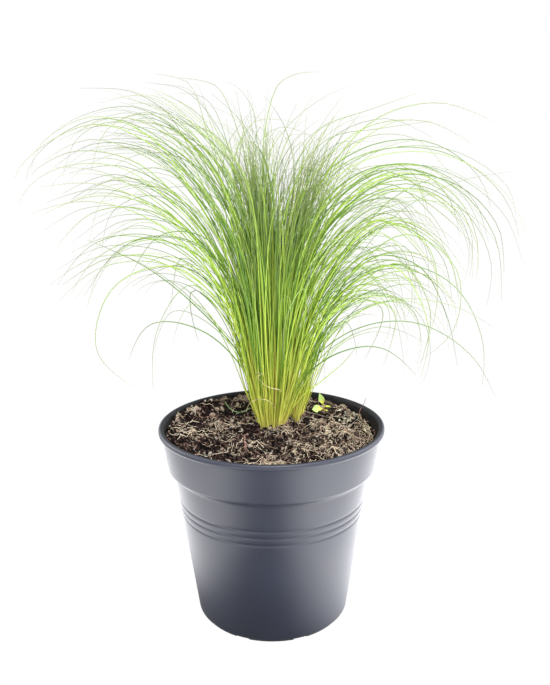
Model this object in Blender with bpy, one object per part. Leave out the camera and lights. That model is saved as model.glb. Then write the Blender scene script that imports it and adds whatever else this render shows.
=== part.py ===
"""A clump of Mexican feather grass in a 19 cm nursery pot of compost, with one weed seedling beside it.

Metres, +Z up. The origin is the centre of the pot's foot, -Y is the front and +X the right.
"""

import math

import bmesh
import bpy
from mathutils import Matrix, Vector

# Pot: one moulded piece, turned about +Z
POT_HEIGHT = 0.168
RIM_RADIUS = 0.095
LIP_HEIGHT = 0.0047
COLLAR_TOP_RADIUS = 0.0921
COLLAR_FOOT_RADIUS = 0.0880
COLLAR_FOOT_Z = 0.1328
BODY_TOP_RADIUS = 0.0830
BODY_FOOT_RADIUS = 0.06475
FLOOR_TOP = 0.0056
FLOOR_BOTTOM = 0.0036
POT_STEPS = 40
GROOVE_HEIGHTS = (0.1066, 0.1003, 0.0940)
GROOVE_HALF_WIDTH = 0.0015
GROOVE_DEPTH = 0.0009

# Inside of the pot's wall as (radius, height), from the floor up to the rim
INNER_WALL = (
    (0.0615, FLOOR_TOP),
    (0.0634, 0.0074),
    (0.0809, 0.1310),
    (0.0840, 0.1338),
    (0.0863, 0.1352),
    (0.0900, 0.1650),
)

# Foot ring with its notches, and the drainage holes in the floor
FOOT_OUTER_RADIUS = 0.0626
FOOT_INNER_RADIUS = 0.0586
NOTCH_COUNT = 8
NOTCH_FIRST_DEGREES = 246.2
NOTCH_LENGTH = 0.010
NOTCH_WIDTH = 0.0115
NOTCH_HEIGHT = 0.0017
DRAIN_COUNT = 8
DRAIN_RADIUS = 0.0045
DRAIN_RING_RADIUS = 0.045
DRAIN_SIDES = 12

# Compost: a little higher at the back left and round the crown
SOIL_LEVEL = 0.1583
SOIL_SLOPE = 0.030
SOIL_HIGH_SIDE = (-0.6, 0.8)
SOIL_LUMP_HEIGHT = 0.0006
SOIL_LUMP_SPACING = 0.060
MOUND_HEIGHT = 0.0012
MOUND_RADIUS = 0.030
SOIL_GAP = 0.0006
SOIL_SIDES = 32
SOIL_RINGS = (1.0, 0.90, 0.76, 0.60, 0.42, 0.22)

# Crown: the sheaves stand in two shallow pockets of the compost
CROWN_X = 0.0
CROWN_Y = 0.020
CROWN_Z = 0.1545
POCKET_FLOOR = 0.1537
POCKET_TOP = 0.170
POCKET_RADIUS = 0.0180
SHOOT_POCKET_RADIUS = 0.0098
POCKET_SIDES = 24

# Sheaves: narrow at the foot, fuller halfway up, drawn out to a point
FOOT_RADIUS = 0.0020
TIP_RADIUS = 0.0005
RING_STEP = 0.0047
SHEAF_POINTS = 11
STEPS_PER_POINT = 12

# Rings of the crown: sheaves, first azimuth, length, lean, tilt at the tip, lateness of the bend, swelling
CROWN_RINGS = (
    (1, 200.0, 0.235, 1.0, 14.0, 2.0, 0.0012),
    (6, 0.0, 0.270, 1.6, 34.0, 2.4, 0.0013),
    (12, 15.0, 0.342, 4.4, 118.0, 2.2, 0.0016),
    (18, 0.0, 0.346, 8.0, 130.0, 1.9, 0.0020),
)
TALL_RING = 1
TALL_SHEAVES = 3
TALL_SHARE = 0.055

# Sheaves of the outer ring droop by these shares in turn, those to the sides most
DROOPING_RING = 3
DROOP_SHARES = (0.45, 1.0, 0.0)
DROOP_SHORTENING = 0.16
DROOP_EXTRA_TILT = 34.0
DROOP_EARLIER = 0.45
DROOP_EXTRA_LEAN = 5.0

# The clump is a fan: few sheaves point straight to the front or back, and those stay upright for longer
FAN_DEGREES = 17.0
BENDING_RINGS = (2, 3)
DEPTH_LATER = 1.1
DEPTH_LEAN_SHARE = 0.65
DEPTH_EXTRA_TILT = 12.0
BACK_SHORTENING = 0.28
RIGHT_EXTRA_TILT = 18.0
RIGHT_EARLIER = 0.2
LENGTH_VARIATION, LENGTH_RHYTHM = 0.05, 2.4
TILT_VARIATION, TILT_RHYTHM = 8.0, 1.7

# Side shoot at the back right: azimuth and distance of each foot from the crown, length, lean, tip tilt
SIDE_SHOOT = (
    (26.0, 0.0280, 0.285, 9.0, 150.0),
    (38.0, 0.0280, 0.285, 9.0, 150.0),
    (50.0, 0.0280, 0.285, 9.0, 150.0),
    (32.0, 0.0327, 0.265, 12.0, 160.0),
    (44.0, 0.0327, 0.265, 12.0, 160.0),
)
SHOOT_LATENESS = 1.6
SHOOT_SWELLING = 0.0010

# Weed seedling near the wall at the right
SEEDLING_X = 0.0473
SEEDLING_Y = 0.0505
STEM_HEIGHT = 0.0066
STEM_RADIUS = 0.0005
STEM_CLEARANCE = 0.0004
LEAF_THICKNESS = 0.0005
LEAF_ROWS = 6
LEAF_END_WIDTH = 0.0004

# Leaves: name, height up the stem, direction, normal of the face, length, width, where it is widest
SEEDLING_LEAVES = (
    ("seedling_leaf_1", 0.0068, (-0.33, 0.02, 0.94), (0.0, -1.0, 0.1), 0.0104, 0.0052, 0.40),
    ("seedling_leaf_2", 0.0036, (-0.95, -0.25, 0.06), (0.15, -0.75, 0.65), 0.0094, 0.0076, 0.55),
    ("seedling_cotyledon_1", 0.0058, (0.98, -0.10, 0.02), (0.0, -0.5, 0.85), 0.0052, 0.0020, 0.55),
    ("seedling_cotyledon_2", 0.0026, (0.86, -0.30, -0.20), (0.2, -0.6, 0.75), 0.0054, 0.0024, 0.55),
)


def clear_scene():
    for old in list(bpy.data.objects):
        bpy.data.objects.remove(old, do_unlink=True)


def plain_material(name, colour, roughness):
    """A non-metallic finish. The colour is linear RGB."""
    material = bpy.data.materials.new(name)
    material.use_nodes = True
    shader = material.node_tree.nodes["Principled BSDF"]
    shader.inputs["Base Color"].default_value = (*colour, 1.0)
    shader.inputs["Roughness"].default_value = roughness
    shader.inputs["Metallic"].default_value = 0.0
    material.diffuse_color = (*colour, 1.0)
    return material


def mesh_from(name, build):
    """A mesh filled in by the function `build`, which takes a bmesh."""
    mesh = bpy.data.meshes.new(name)
    working = bmesh.new()
    build(working)
    working.to_mesh(mesh)
    working.free()
    return mesh


def add_piece(name, data, material, parent=None):
    piece = bpy.data.objects.new(name, data)
    bpy.context.scene.collection.objects.link(piece)
    data.materials.append(material)
    piece.parent = parent
    return piece


def add_cutter(name, build, target):
    """A hidden mesh that a Boolean takes out of the target."""
    cutter = bpy.data.objects.new(name, mesh_from(name, build))
    bpy.context.scene.collection.objects.link(cutter)
    cutter.parent = target
    cutter.hide_render = True
    cutter.display_type = "WIRE"
    cut = target.modifiers.new(name, "BOOLEAN")
    cut.operation = "DIFFERENCE"
    cut.solver = "EXACT"
    cut.object = cutter


def body_radius(z):
    return BODY_FOOT_RADIUS + (BODY_TOP_RADIUS - BODY_FOOT_RADIUS) * z / COLLAR_FOOT_Z


def inner_radius(z):
    """Radius of the pot's inside at a height."""
    for (low_r, low_z), (high_r, high_z) in zip(INNER_WALL, INNER_WALL[1:]):
        if z <= high_z:
            return low_r + (high_r - low_r) * (z - low_z) / (high_z - low_z)
    return INNER_WALL[-1][0]


def pot_profile():
    """(radius, height) from the middle of the floor, up the inside, over the lip and down the outside."""
    lip_foot = POT_HEIGHT - LIP_HEIGHT
    points = [(0.0, FLOOR_TOP), *INNER_WALL]
    points += [
        (0.0906, 0.1672),
        (0.0920, POT_HEIGHT),
        (0.0936, POT_HEIGHT),
        (0.0947, 0.1674),
        (RIM_RADIUS, 0.1662),
        (RIM_RADIUS, 0.1645),
        (0.0940, lip_foot),
        (COLLAR_TOP_RADIUS, lip_foot - 0.0001),
        (COLLAR_FOOT_RADIUS, COLLAR_FOOT_Z + 0.0016),
        (0.0868, COLLAR_FOOT_Z),
        (0.0845, 0.1317),
        (0.0825, 0.1292),
    ]
    for z in GROOVE_HEIGHTS:
        points += [
            (body_radius(z + GROOVE_HALF_WIDTH), z + GROOVE_HALF_WIDTH),
            (body_radius(z) - GROOVE_DEPTH, z),
            (body_radius(z - GROOVE_HALF_WIDTH), z - GROOVE_HALF_WIDTH),
        ]
    points += [
        (body_radius(0.0030), 0.0030),
        (0.0636, 0.0015),
        (FOOT_OUTER_RADIUS, 0.0012),
        (FOOT_OUTER_RADIUS, 0.0),
        (FOOT_INNER_RADIUS, 0.0),
        (0.0576, FLOOR_BOTTOM),
        (0.0, FLOOR_BOTTOM),
    ]
    return points


def notch_blocks(working):
    """Blocks across the foot ring, where water runs out from under the pot."""
    middle = (FOOT_OUTER_RADIUS + FOOT_INNER_RADIUS) / 2
    for i in range(NOTCH_COUNT):
        angle = math.radians(NOTCH_FIRST_DEGREES + 360.0 * i / NOTCH_COUNT)
        block = bmesh.ops.create_cube(working, size=1.0)["verts"]
        bmesh.ops.scale(working, verts=block, vec=(NOTCH_LENGTH, NOTCH_WIDTH, 2 * NOTCH_HEIGHT))
        bmesh.ops.translate(working, verts=block, vec=(middle, 0.0, 0.0))
        turn = Matrix.Rotation(angle, 3, "Z")
        bmesh.ops.rotate(working, verts=block, cent=(0.0, 0.0, 0.0), matrix=turn)


def drain_plugs(working):
    middle_z = (FLOOR_TOP + FLOOR_BOTTOM) / 2
    for i in range(DRAIN_COUNT):
        angle = math.radians(NOTCH_FIRST_DEGREES + 360.0 * i / DRAIN_COUNT)
        plug = bmesh.ops.create_cone(
            working,
            cap_ends=True,
            segments=DRAIN_SIDES,
            radius1=DRAIN_RADIUS,
            radius2=DRAIN_RADIUS,
            depth=3 * (FLOOR_TOP - FLOOR_BOTTOM),
        )["verts"]
        centre = (DRAIN_RING_RADIUS * math.cos(angle), DRAIN_RING_RADIUS * math.sin(angle), middle_z)
        bmesh.ops.translate(working, verts=plug, vec=centre)


def make_pot():
    def profile(working):
        verts = [working.verts.new((r, 0.0, z)) for r, z in pot_profile()]
        for first, second in zip(verts, verts[1:]):
            working.edges.new((first, second))

    plastic = plain_material("grey_moulded_plastic", (0.062, 0.066, 0.088), 0.42)
    pot = add_piece("pot", mesh_from("pot", profile), plastic)
    turn = pot.modifiers.new("turn", "SCREW")
    turn.axis = "Z"
    turn.steps = POT_STEPS
    turn.render_steps = POT_STEPS
    turn.use_merge_vertices = True
    turn.merge_threshold = 0.00001
    turn.use_smooth_shade = True
    add_cutter("foot_notches", notch_blocks, pot)
    add_cutter("drain_holes", drain_plugs, pot)


def soil_height(x, y):
    along = SOIL_HIGH_SIDE[0] * x + SOIL_HIGH_SIDE[1] * y
    away = math.hypot(x - CROWN_X, y - CROWN_Y)
    mound = MOUND_HEIGHT * math.exp(-((away / MOUND_RADIUS) ** 2))
    wave = 2 * math.pi / SOIL_LUMP_SPACING
    lump = SOIL_LUMP_HEIGHT * math.sin(wave * x + 0.8) * math.cos(wave * y)
    return SOIL_LEVEL + SOIL_SLOPE * along + mound + lump


def soil_surface(radius_share, angle):
    """A point of the top of the compost. Share 1 is the edge, just clear of the pot's wall."""
    radius = radius_share * (inner_radius(SOIL_LEVEL) - SOIL_GAP)
    x, y = radius * math.cos(angle), radius * math.sin(angle)
    z = soil_height(x, y)
    if radius_share == 1.0:
        edge = (inner_radius(z) - SOIL_GAP) / radius
        x, y = x * edge, y * edge
    return x, y, z


def foot_of_shoot(azimuth_degrees, distance):
    azimuth = math.radians(azimuth_degrees)
    return CROWN_X + distance * math.cos(azimuth), CROWN_Y + distance * math.sin(azimuth)


def pocket_plug(radius, x, y):
    def build(working):
        plug = bmesh.ops.create_cone(
            working,
            cap_ends=True,
            segments=POCKET_SIDES,
            radius1=radius,
            radius2=radius,
            depth=POCKET_TOP - POCKET_FLOOR,
        )["verts"]
        bmesh.ops.translate(working, verts=plug, vec=(x, y, (POCKET_TOP + POCKET_FLOOR) / 2))

    return build


def make_soil():
    """A closed body: floor, sides that follow the wall, and the uneven top."""
    def build(working):
        angles = [2 * math.pi * i / SOIL_SIDES for i in range(SOIL_SIDES)]
        rows = []
        for r, z in [(INNER_WALL[0][0], FLOOR_TOP + SOIL_GAP), *INNER_WALL[1:5]]:
            inside = r - SOIL_GAP
            rows.append([(inside * math.cos(a), inside * math.sin(a), z) for a in angles])
        for share in SOIL_RINGS:
            rows.append([soil_surface(share, a) for a in angles])
        rings = [[working.verts.new(point) for point in row] for row in rows]
        for low, high in zip(rings, rings[1:]):
            for i in range(SOIL_SIDES):
                j = (i + 1) % SOIL_SIDES
                working.faces.new((low[i], low[j], high[j], high[i]))
        working.faces.new(tuple(reversed(rings[0])))
        top = working.verts.new(soil_surface(0.0, 0.0))
        for i in range(SOIL_SIDES):
            working.faces.new((rings[-1][i], rings[-1][(i + 1) % SOIL_SIDES], top))
        bmesh.ops.triangulate(working, faces=working.faces)

    compost = plain_material("potting_compost", (0.030, 0.020, 0.014), 0.95)
    soil = add_piece("soil", mesh_from("soil", build), compost)
    feet = [foot_of_shoot(azimuth, distance) for azimuth, distance, *_ in SIDE_SHOOT]
    shoot_x = sum(x for x, _ in feet) / len(feet)
    shoot_y = sum(y for _, y in feet) / len(feet)
    add_cutter("crown_pocket", pocket_plug(POCKET_RADIUS, CROWN_X, CROWN_Y), soil)
    add_cutter("side_shoot_pocket", pocket_plug(SHOOT_POCKET_RADIUS, shoot_x, shoot_y), soil)


def sheaf_line(length, lean, tip_tilt, lateness, swelling):
    """(out, up, radius) along a sheaf, which leans at its foot and then bends over more and more."""
    steps = (SHEAF_POINTS - 1) * STEPS_PER_POINT
    out = up = 0.0
    points = [(out, up, FOOT_RADIUS)]
    for i in range(steps):
        bent = math.sin(math.pi / 2 * ((i + 0.5) / steps) ** lateness) ** 2
        tilt = math.radians(lean + (tip_tilt - lean) * bent)
        out += math.sin(tilt) * length / steps
        up += math.cos(tilt) * length / steps
        if (i + 1) % STEPS_PER_POINT == 0:
            along = (i + 1) / steps
            swollen = swelling * math.sin(math.pi * along) ** 1.3 if along < 1.0 else 0.0
            points.append((out, up, FOOT_RADIUS * (1 - along) ** 0.8 + swollen + TIP_RADIUS * along))
    return points


def add_sheaf(number, x, y, heading, line, material, crown):
    """A sheaf is a curve in its own upright plane, turned to its heading about its foot."""
    curve = bpy.data.curves.new(f"grass_sheaf_{number:02d}", "CURVE")
    curve.dimensions = "3D"
    curve.bevel_depth = FOOT_RADIUS
    curve.bevel_resolution = 1
    curve.use_fill_caps = True
    spline = curve.splines.new("POLY")
    spline.points.add(len(line) - 1)
    for point, (out, up, radius) in zip(spline.points, line):
        point.co = (out, 0.0, up, 1.0)
        point.radius = radius / FOOT_RADIUS
    sheaf = add_piece(curve.name, curve, material, crown)
    sheaf.location = (x - CROWN_X, y - CROWN_Y, 0.0)
    sheaf.rotation_euler = (0.0, 0.0, heading)


def fanned(azimuth):
    return azimuth - math.radians(FAN_DEGREES) * math.sin(2 * azimuth)


def make_grass():
    green = plain_material("grass_blades", (0.190, 0.400, 0.035), 0.50)
    crown = bpy.data.objects.new("crown", None)
    bpy.context.scene.collection.objects.link(crown)
    crown.location = (CROWN_X, CROWN_Y, CROWN_Z)
    number = 0
    for ring, (count, first, length, lean, tip_tilt, lateness, swelling) in enumerate(CROWN_RINGS):
        for i in range(count):
            azimuth = math.radians(first + 360.0 * i / count)
            heading = fanned(azimuth)
            right, depth = math.cos(heading), math.sin(heading) ** 2
            own_length = length * (1 + LENGTH_VARIATION * math.sin(LENGTH_RHYTHM * number))
            if math.sin(heading) > 0:
                own_length *= 1 - BACK_SHORTENING * depth
            own_lean = lean
            own_tilt = tip_tilt + RIGHT_EXTRA_TILT * right
            own_tilt += TILT_VARIATION * math.sin(TILT_RHYTHM * number + 1)
            own_lateness = lateness - RIGHT_EARLIER * right
            if ring == TALL_RING:
                own_length *= 1 - TALL_SHARE * math.cos(TALL_SHEAVES * azimuth)
            if ring == DROOPING_RING:
                droop = DROOP_SHARES[i % 3] * (1 - depth)
                own_length *= 1 - DROOP_SHORTENING * droop
                own_lean += DROOP_EXTRA_LEAN * droop
                own_tilt += DROOP_EXTRA_TILT * droop
                own_lateness -= DROOP_EARLIER * droop
            if ring in BENDING_RINGS:
                own_lateness += DEPTH_LATER * depth
                own_lean *= 1 - (1 - DEPTH_LEAN_SHARE) * depth
                own_tilt += DEPTH_EXTRA_TILT * depth
            x = CROWN_X + ring * RING_STEP * math.cos(azimuth)
            y = CROWN_Y + ring * RING_STEP * math.sin(azimuth)
            line = sheaf_line(own_length, own_lean, own_tilt, own_lateness, swelling)
            number += 1
            add_sheaf(number, x, y, heading, line, green, crown)
    for azimuth_degrees, distance, length, lean, tip_tilt in SIDE_SHOOT:
        x, y = foot_of_shoot(azimuth_degrees, distance)
        line = sheaf_line(length, lean, tip_tilt, SHOOT_LATENESS, SHOOT_SWELLING)
        number += 1
        add_sheaf(number, x, y, fanned(math.radians(azimuth_degrees)), line, green, crown)


def leaf_half_width(along, width, widest):
    """Half the width of a leaf at a share of its length: pointed at both ends."""
    if along < widest:
        share = math.sin(math.pi / 2 * along / widest)
    else:
        share = math.cos(math.pi / 2 * (along - widest) / (1 - widest))
    return max(width / 2 * share, LEAF_END_WIDTH / 2)


def make_seedling():
    stem_foot = soil_height(SEEDLING_X, SEEDLING_Y) + SOIL_GAP
    stem_green = plain_material("seedling_stem_green", (0.330, 0.420, 0.060), 0.50)
    leaf_green = plain_material("seedling_leaf_green", (0.480, 0.700, 0.150), 0.50)
    dark_green = plain_material("seed_leaf_green", (0.330, 0.520, 0.040), 0.50)

    def stem(working):
        made = bmesh.ops.create_cone(
            working, cap_ends=True, segments=8, radius1=STEM_RADIUS, radius2=STEM_RADIUS, depth=STEM_HEIGHT
        )["verts"]
        bmesh.ops.translate(working, verts=made, vec=(0.0, 0.0, STEM_HEIGHT / 2))

    seedling = add_piece("seedling_stem", mesh_from("seedling_stem", stem), stem_green)
    seedling.location = (SEEDLING_X, SEEDLING_Y, stem_foot)
    for name, height, direction, normal, length, width, widest in SEEDLING_LEAVES:
        colour = leaf_green if "leaf" in name else dark_green
        forward = Vector(direction).normalized()
        across = Vector(normal).cross(forward).normalized()
        start = Vector((0.0, 0.0, height)) + forward * (STEM_RADIUS + STEM_CLEARANCE + LEAF_END_WIDTH)

        def blade(working):
            rows = []
            for i in range(LEAF_ROWS + 1):
                along = i / LEAF_ROWS
                middle = start + forward * length * along
                half = across * leaf_half_width(along, width, widest)
                rows.append([working.verts.new(middle + half * side) for side in (-1, 0, 1)])
            for low, high in zip(rows, rows[1:]):
                for k in range(2):
                    working.faces.new((low[k], low[k + 1], high[k + 1], high[k]))

        leaf = add_piece(name, mesh_from(name, blade), colour, seedling)
        thick = leaf.modifiers.new("thickness", "SOLIDIFY")
        thick.thickness = LEAF_THICKNESS
        thick.offset = 0.0


clear_scene()
make_pot()
make_soil()
make_grass()
make_seedling()
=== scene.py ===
"""A clump of Mexican feather grass in a 19 cm nursery pot of compost: its looks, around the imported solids.

Metres, +Z up. The origin is the centre of the pot's foot, -Y is the front and +X the right.
"""

import math

import bmesh
import bpy
from mathutils import Matrix, Vector, noise


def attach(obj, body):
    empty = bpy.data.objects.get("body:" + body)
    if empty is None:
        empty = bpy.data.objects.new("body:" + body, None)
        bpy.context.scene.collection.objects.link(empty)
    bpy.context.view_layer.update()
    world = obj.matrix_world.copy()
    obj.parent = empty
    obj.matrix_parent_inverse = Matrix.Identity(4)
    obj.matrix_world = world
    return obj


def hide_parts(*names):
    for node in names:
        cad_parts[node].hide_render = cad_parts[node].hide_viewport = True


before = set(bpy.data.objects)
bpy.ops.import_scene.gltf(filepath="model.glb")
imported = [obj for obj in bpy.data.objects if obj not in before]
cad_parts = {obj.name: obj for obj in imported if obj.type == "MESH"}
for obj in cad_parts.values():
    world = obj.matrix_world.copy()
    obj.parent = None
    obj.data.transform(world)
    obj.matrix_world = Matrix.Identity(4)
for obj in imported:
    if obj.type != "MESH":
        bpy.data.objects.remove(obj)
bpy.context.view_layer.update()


# Pot: a nursery container moulded in one shot from grey polypropylene, with a rolled lip, a stepped collar
# and three grooves. It stands on a foot ring with notches, and its floor has eight drainage holes.
MM = 0.001
POT_STEPS = 192
FILLET_STEPS = 3
FILLET_SHARE = 0.48
INNER_FILLET = 1.6
GROOVE_FILLET = 0.9
SHARP_FROM = math.radians(38)
BODY_FOOT_RADIUS = 64.75
BODY_TOP_RADIUS = 83.0
COLLAR_FOOT = 132.8
GROOVE_HEIGHTS = (106.6, 100.3, 94.0)
GROOVE_HALF_WIDTH = 1.7
GROOVE_DEPTH = 0.6
FLOOR_TOP = 5.6
FLOOR_BOTTOM = 3.6
LIP_FROM = 165.5
LIP_RADIUS = 93.3

# Inside of the pot's wall as (radius, height) in mm, from the floor up to the rim
INNER_WALL = ((61.5, FLOOR_TOP), (63.4, 7.4), (80.9, 131.0), (84.0, 133.8), (86.3, 135.2), (90.0, 165.0))

NOTCHES = 8
NOTCH_FIRST = math.radians(246.2)
NOTCH_BLOCK = (10.0, 11.5, 3.4)
FOOT_RING_RADIUS = 60.6
DRAIN_RING_RADIUS = 45.0
DRAIN_RADIUS = 4.5
DRAIN_SIDES = 32
DRAIN_DEPTH = 6.0


def linear(colour):
    """sRGB hex to linear RGBA."""
    parts = [int(colour[i : i + 2], 16) / 255 for i in (1, 3, 5)]
    return (*[c / 12.92 if c <= 0.04045 else ((c + 0.055) / 1.055) ** 2.4 for c in parts], 1.0)


def add_node(tree, kind, inputs=(), output=0, stops=(), **settings):
    """Adds a node with its settings and links, and returns one of its outputs.

    Inputs are values or sockets, in order or by name. Stops are the places and hex colours of a ramp.
    """
    node = tree.nodes.new(kind)
    for name, value in settings.items():
        setattr(node, name, value)
    if stops:
        node.color_ramp.elements.remove(node.color_ramp.elements[1])
        node.color_ramp.elements[0].position = stops[0][0]
        node.color_ramp.elements[0].color = linear(stops[0][1])
    for place, colour in stops[1:]:
        node.color_ramp.elements.new(place).color = linear(colour)
    sockets = [socket for socket in node.inputs if socket.enabled]
    for key, value in inputs.items() if isinstance(inputs, dict) else enumerate(inputs):
        socket = next(s for s in sockets if s.name == key) if isinstance(key, str) else sockets[key]
        if isinstance(value, bpy.types.NodeSocket):
            tree.links.new(value, socket)
        else:
            socket.default_value = value
    results = [socket for socket in node.outputs if socket.enabled]
    if isinstance(output, str):
        return next(socket for socket in results if socket.name == output)
    return results[output] if results else None


def new_material(name, **sockets):
    """A material, its tree and its shader, with the shader's own sockets set."""
    material = bpy.data.materials.new(name)
    material.use_nodes = True
    shader = material.node_tree.nodes["Principled BSDF"]
    for socket, value in sockets.items():
        shader.inputs[socket.replace("_", " ")].default_value = value
    return material, material.node_tree, shader


def mottled_material(name, mottle, stops, **sockets):
    """A material whose colour runs through the stops with one noise of the given scale and detail."""
    material, tree, shader = new_material(name, **sockets)
    place = add_node(tree, "ShaderNodeTexCoord", output="Object")
    patches = add_node(tree, "ShaderNodeTexNoise", {"Vector": place, **mottle})
    colours = add_node(tree, "ShaderNodeValToRGB", (patches,), stops=stops)
    tree.links.new(colours, shader.inputs["Base Color"])
    return material


def add_object(name, data):
    made = bpy.data.objects.new(name, data)
    bpy.context.scene.collection.objects.link(made)
    return made


def mesh_of(working, name):
    """The bmesh as a mesh. The bmesh is freed."""
    mesh = bpy.data.meshes.new(name)
    working.to_mesh(mesh)
    working.free()
    return mesh


def as_plain_mesh(source, name):
    """The evaluated object as a plain mesh object, in place of the source and its modifiers."""
    graph = bpy.context.evaluated_depsgraph_get()
    mesh = bpy.data.meshes.new_from_object(source.evaluated_get(graph))
    bpy.data.objects.remove(source)
    mesh.name = name
    return add_object(name, mesh)


def dress(piece, slot, *nodes):
    """The piece rides on the one body and stands for some solids. The slot is not used."""
    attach(piece, "root")
    if nodes:
        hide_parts(*nodes)


def body_radius(height):
    """Radius of the body's outer wall in mm."""
    return BODY_FOOT_RADIUS + (BODY_TOP_RADIUS - BODY_FOOT_RADIUS) * height / COLLAR_FOOT


def inner_radius(z):
    """Radius of the wall's inside in mm."""
    for (low_r, low_z), (high_r, high_z) in zip(INNER_WALL, INNER_WALL[1:]):
        if z <= high_z:
            return low_r + (high_r - low_r) * (z - low_z) / (high_z - low_z)
    return INNER_WALL[-1][0]


def filleted(corners):
    """Points along a profile of (radius, height, fillet) corners, with each corner rounded."""
    points = [Vector(corners[0][:2])]
    for before, corner, after in zip(corners, corners[1:], corners[2:]):
        here = Vector(corner[:2])
        back, on = Vector(before[:2]) - here, Vector(after[:2]) - here
        reach = min(corner[2], back.length * FILLET_SHARE, on.length * FILLET_SHARE)
        start, end = here + back.normalized() * reach, here + on.normalized() * reach
        for step in range(FILLET_STEPS + 1):
            t = step / FILLET_STEPS
            points.append(start * (1 - t) ** 2 + here * 2 * t * (1 - t) + end * t**2)
    return points + [Vector(corners[-1][:2])]


# From the floor up the inside, over the lip, down the collar and the grooved body, and round the foot ring
pot_corners = [(0.0, FLOOR_TOP, 0.0)] + [(r, z, INNER_FILLET) for r, z in INNER_WALL]
pot_corners += [(90.6, 167.2, 0.8), (92.0, 168.0, 0.7), (93.6, 168.0, 0.7), (94.7, 167.4, 0.6)]
pot_corners += [(95.0, 166.2, 0.6), (95.0, 164.5, 0.6), (94.0, 163.3, 0.5), (92.1, 163.2, 0.4)]
pot_corners += [(88.0, 134.4, 0.9), (86.8, COLLAR_FOOT, 0.7), (84.5, 131.7, 0.8), (82.5, 129.2, 1.6)]
for groove in GROOVE_HEIGHTS:
    for above, depth in ((GROOVE_HALF_WIDTH, 0.0), (0.0, GROOVE_DEPTH), (-GROOVE_HALF_WIDTH, 0.0)):
        pot_corners.append((body_radius(groove + above) - depth, groove + above, GROOVE_FILLET))
pot_corners += [(body_radius(3.0), 3.0, 1.2), (63.6, 1.5, 0.4), (62.6, 1.2, 0.3), (62.6, 0.0, 0.3)]
pot_corners += [(58.6, 0.0, 0.3), (57.6, FLOOR_BOTTOM, 0.5), (0.0, FLOOR_BOTTOM, 0.0)]

working = bmesh.new()
profile = [working.verts.new((p.x * MM, 0.0, p.y * MM)) for p in filleted(pot_corners)]
for first, second in zip(profile, profile[1:]):
    working.edges.new((first, second))
turned = add_object("pot_profile", mesh_of(working, "pot_profile"))
screw = turned.modifiers.new("turn", "SCREW")
screw.axis = "Z"
screw.steps = screw.render_steps = POT_STEPS
screw.use_merge_vertices = True
screw.merge_threshold = 0.00001

working = bmesh.new()
for i in range(NOTCHES):
    turn = Matrix.Rotation(NOTCH_FIRST + math.tau * i / NOTCHES, 4, "Z")
    block = Matrix.Diagonal((*[side * MM for side in NOTCH_BLOCK], 1.0))
    at_ring = Matrix.Translation((FOOT_RING_RADIUS * MM, 0.0, 0.0))
    bmesh.ops.create_cube(working, size=1.0, matrix=turn @ at_ring @ block)
    at_hole = Matrix.Translation((DRAIN_RING_RADIUS * MM, 0.0, (FLOOR_TOP + FLOOR_BOTTOM) / 2 * MM))
    bmesh.ops.create_cone(
        working,
        cap_ends=True,
        segments=DRAIN_SIDES,
        radius1=DRAIN_RADIUS * MM,
        radius2=DRAIN_RADIUS * MM,
        depth=DRAIN_DEPTH * MM,
        matrix=turn @ at_hole,
    )
cutter = add_object("pot_openings", mesh_of(working, "pot_openings"))
cut = turned.modifiers.new("openings", "BOOLEAN")
cut.operation = "DIFFERENCE"
cut.solver = "EXACT"
cut.object = cutter
pot = as_plain_mesh(turned, "pot_shell")
bpy.data.objects.remove(cutter)
pot.data.shade_smooth()
pot.data.set_sharp_from_angle(angle=SHARP_FROM)

# Moulded polypropylene: a slate grey with a satin skin, so light from the side washes softly across it.
# The mould's grain is about 0.2 mm and is drawn 1.5 mm wide, which is as fine as the render shows.
polypropylene, tree, shader = new_material("moulded_polypropylene", IOR=1.55, Specular_IOR_Level=0.55)
place = add_node(tree, "ShaderNodeTexCoord", output="Object")
cloud = add_node(tree, "ShaderNodeTexNoise", {"Vector": place, "Scale": 26.0, "Detail": 4.0})
slate = add_node(tree, "ShaderNodeValToRGB", (cloud,), stops=((0.30, "#1B1F30"), (0.75, "#202436")))
speck = add_node(tree, "ShaderNodeTexNoise", {"Vector": place, "Scale": 420.0, "Detail": 2.0})
dusted = add_node(tree, "ShaderNodeMapRange", (speck, 0.70, 0.80, 0.0, 0.35))
skin = add_node(tree, "ShaderNodeMix", (dusted, slate, linear("#2A2420")), data_type="RGBA")
satin = add_node(tree, "ShaderNodeMapRange", {"Value": cloud, "To Min": 0.43, "To Max": 0.50})
tree.links.new(skin, shader.inputs["Base Color"])
tree.links.new(satin, shader.inputs["Roughness"])
grain = add_node(tree, "ShaderNodeTexNoise", {"Vector": place, "Scale": 700.0, "Detail": 2.0})
bump = add_node(tree, "ShaderNodeBump", {"Strength": 0.06, "Distance": 0.0004, "Height": grain})
tree.links.new(bump, shader.inputs["Normal"])

# The same plastic inside the pot: scuffed and stained by the compost, and darkened further with painted shade
# for the inside of the pot, so it is nearly black and has no shine.
stained_and_shaded = mottled_material(
    "peat_stained_and_painted_shade_polypropylene",
    {"Scale": 90.0, "Detail": 5.0, "Roughness": 0.7},
    ((0.35, "#16161A"), (0.6, "#26221F"), (0.8, "#3A312B")),
    Roughness=0.9,
    Specular_IOR_Level=0.12,
)
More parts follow.
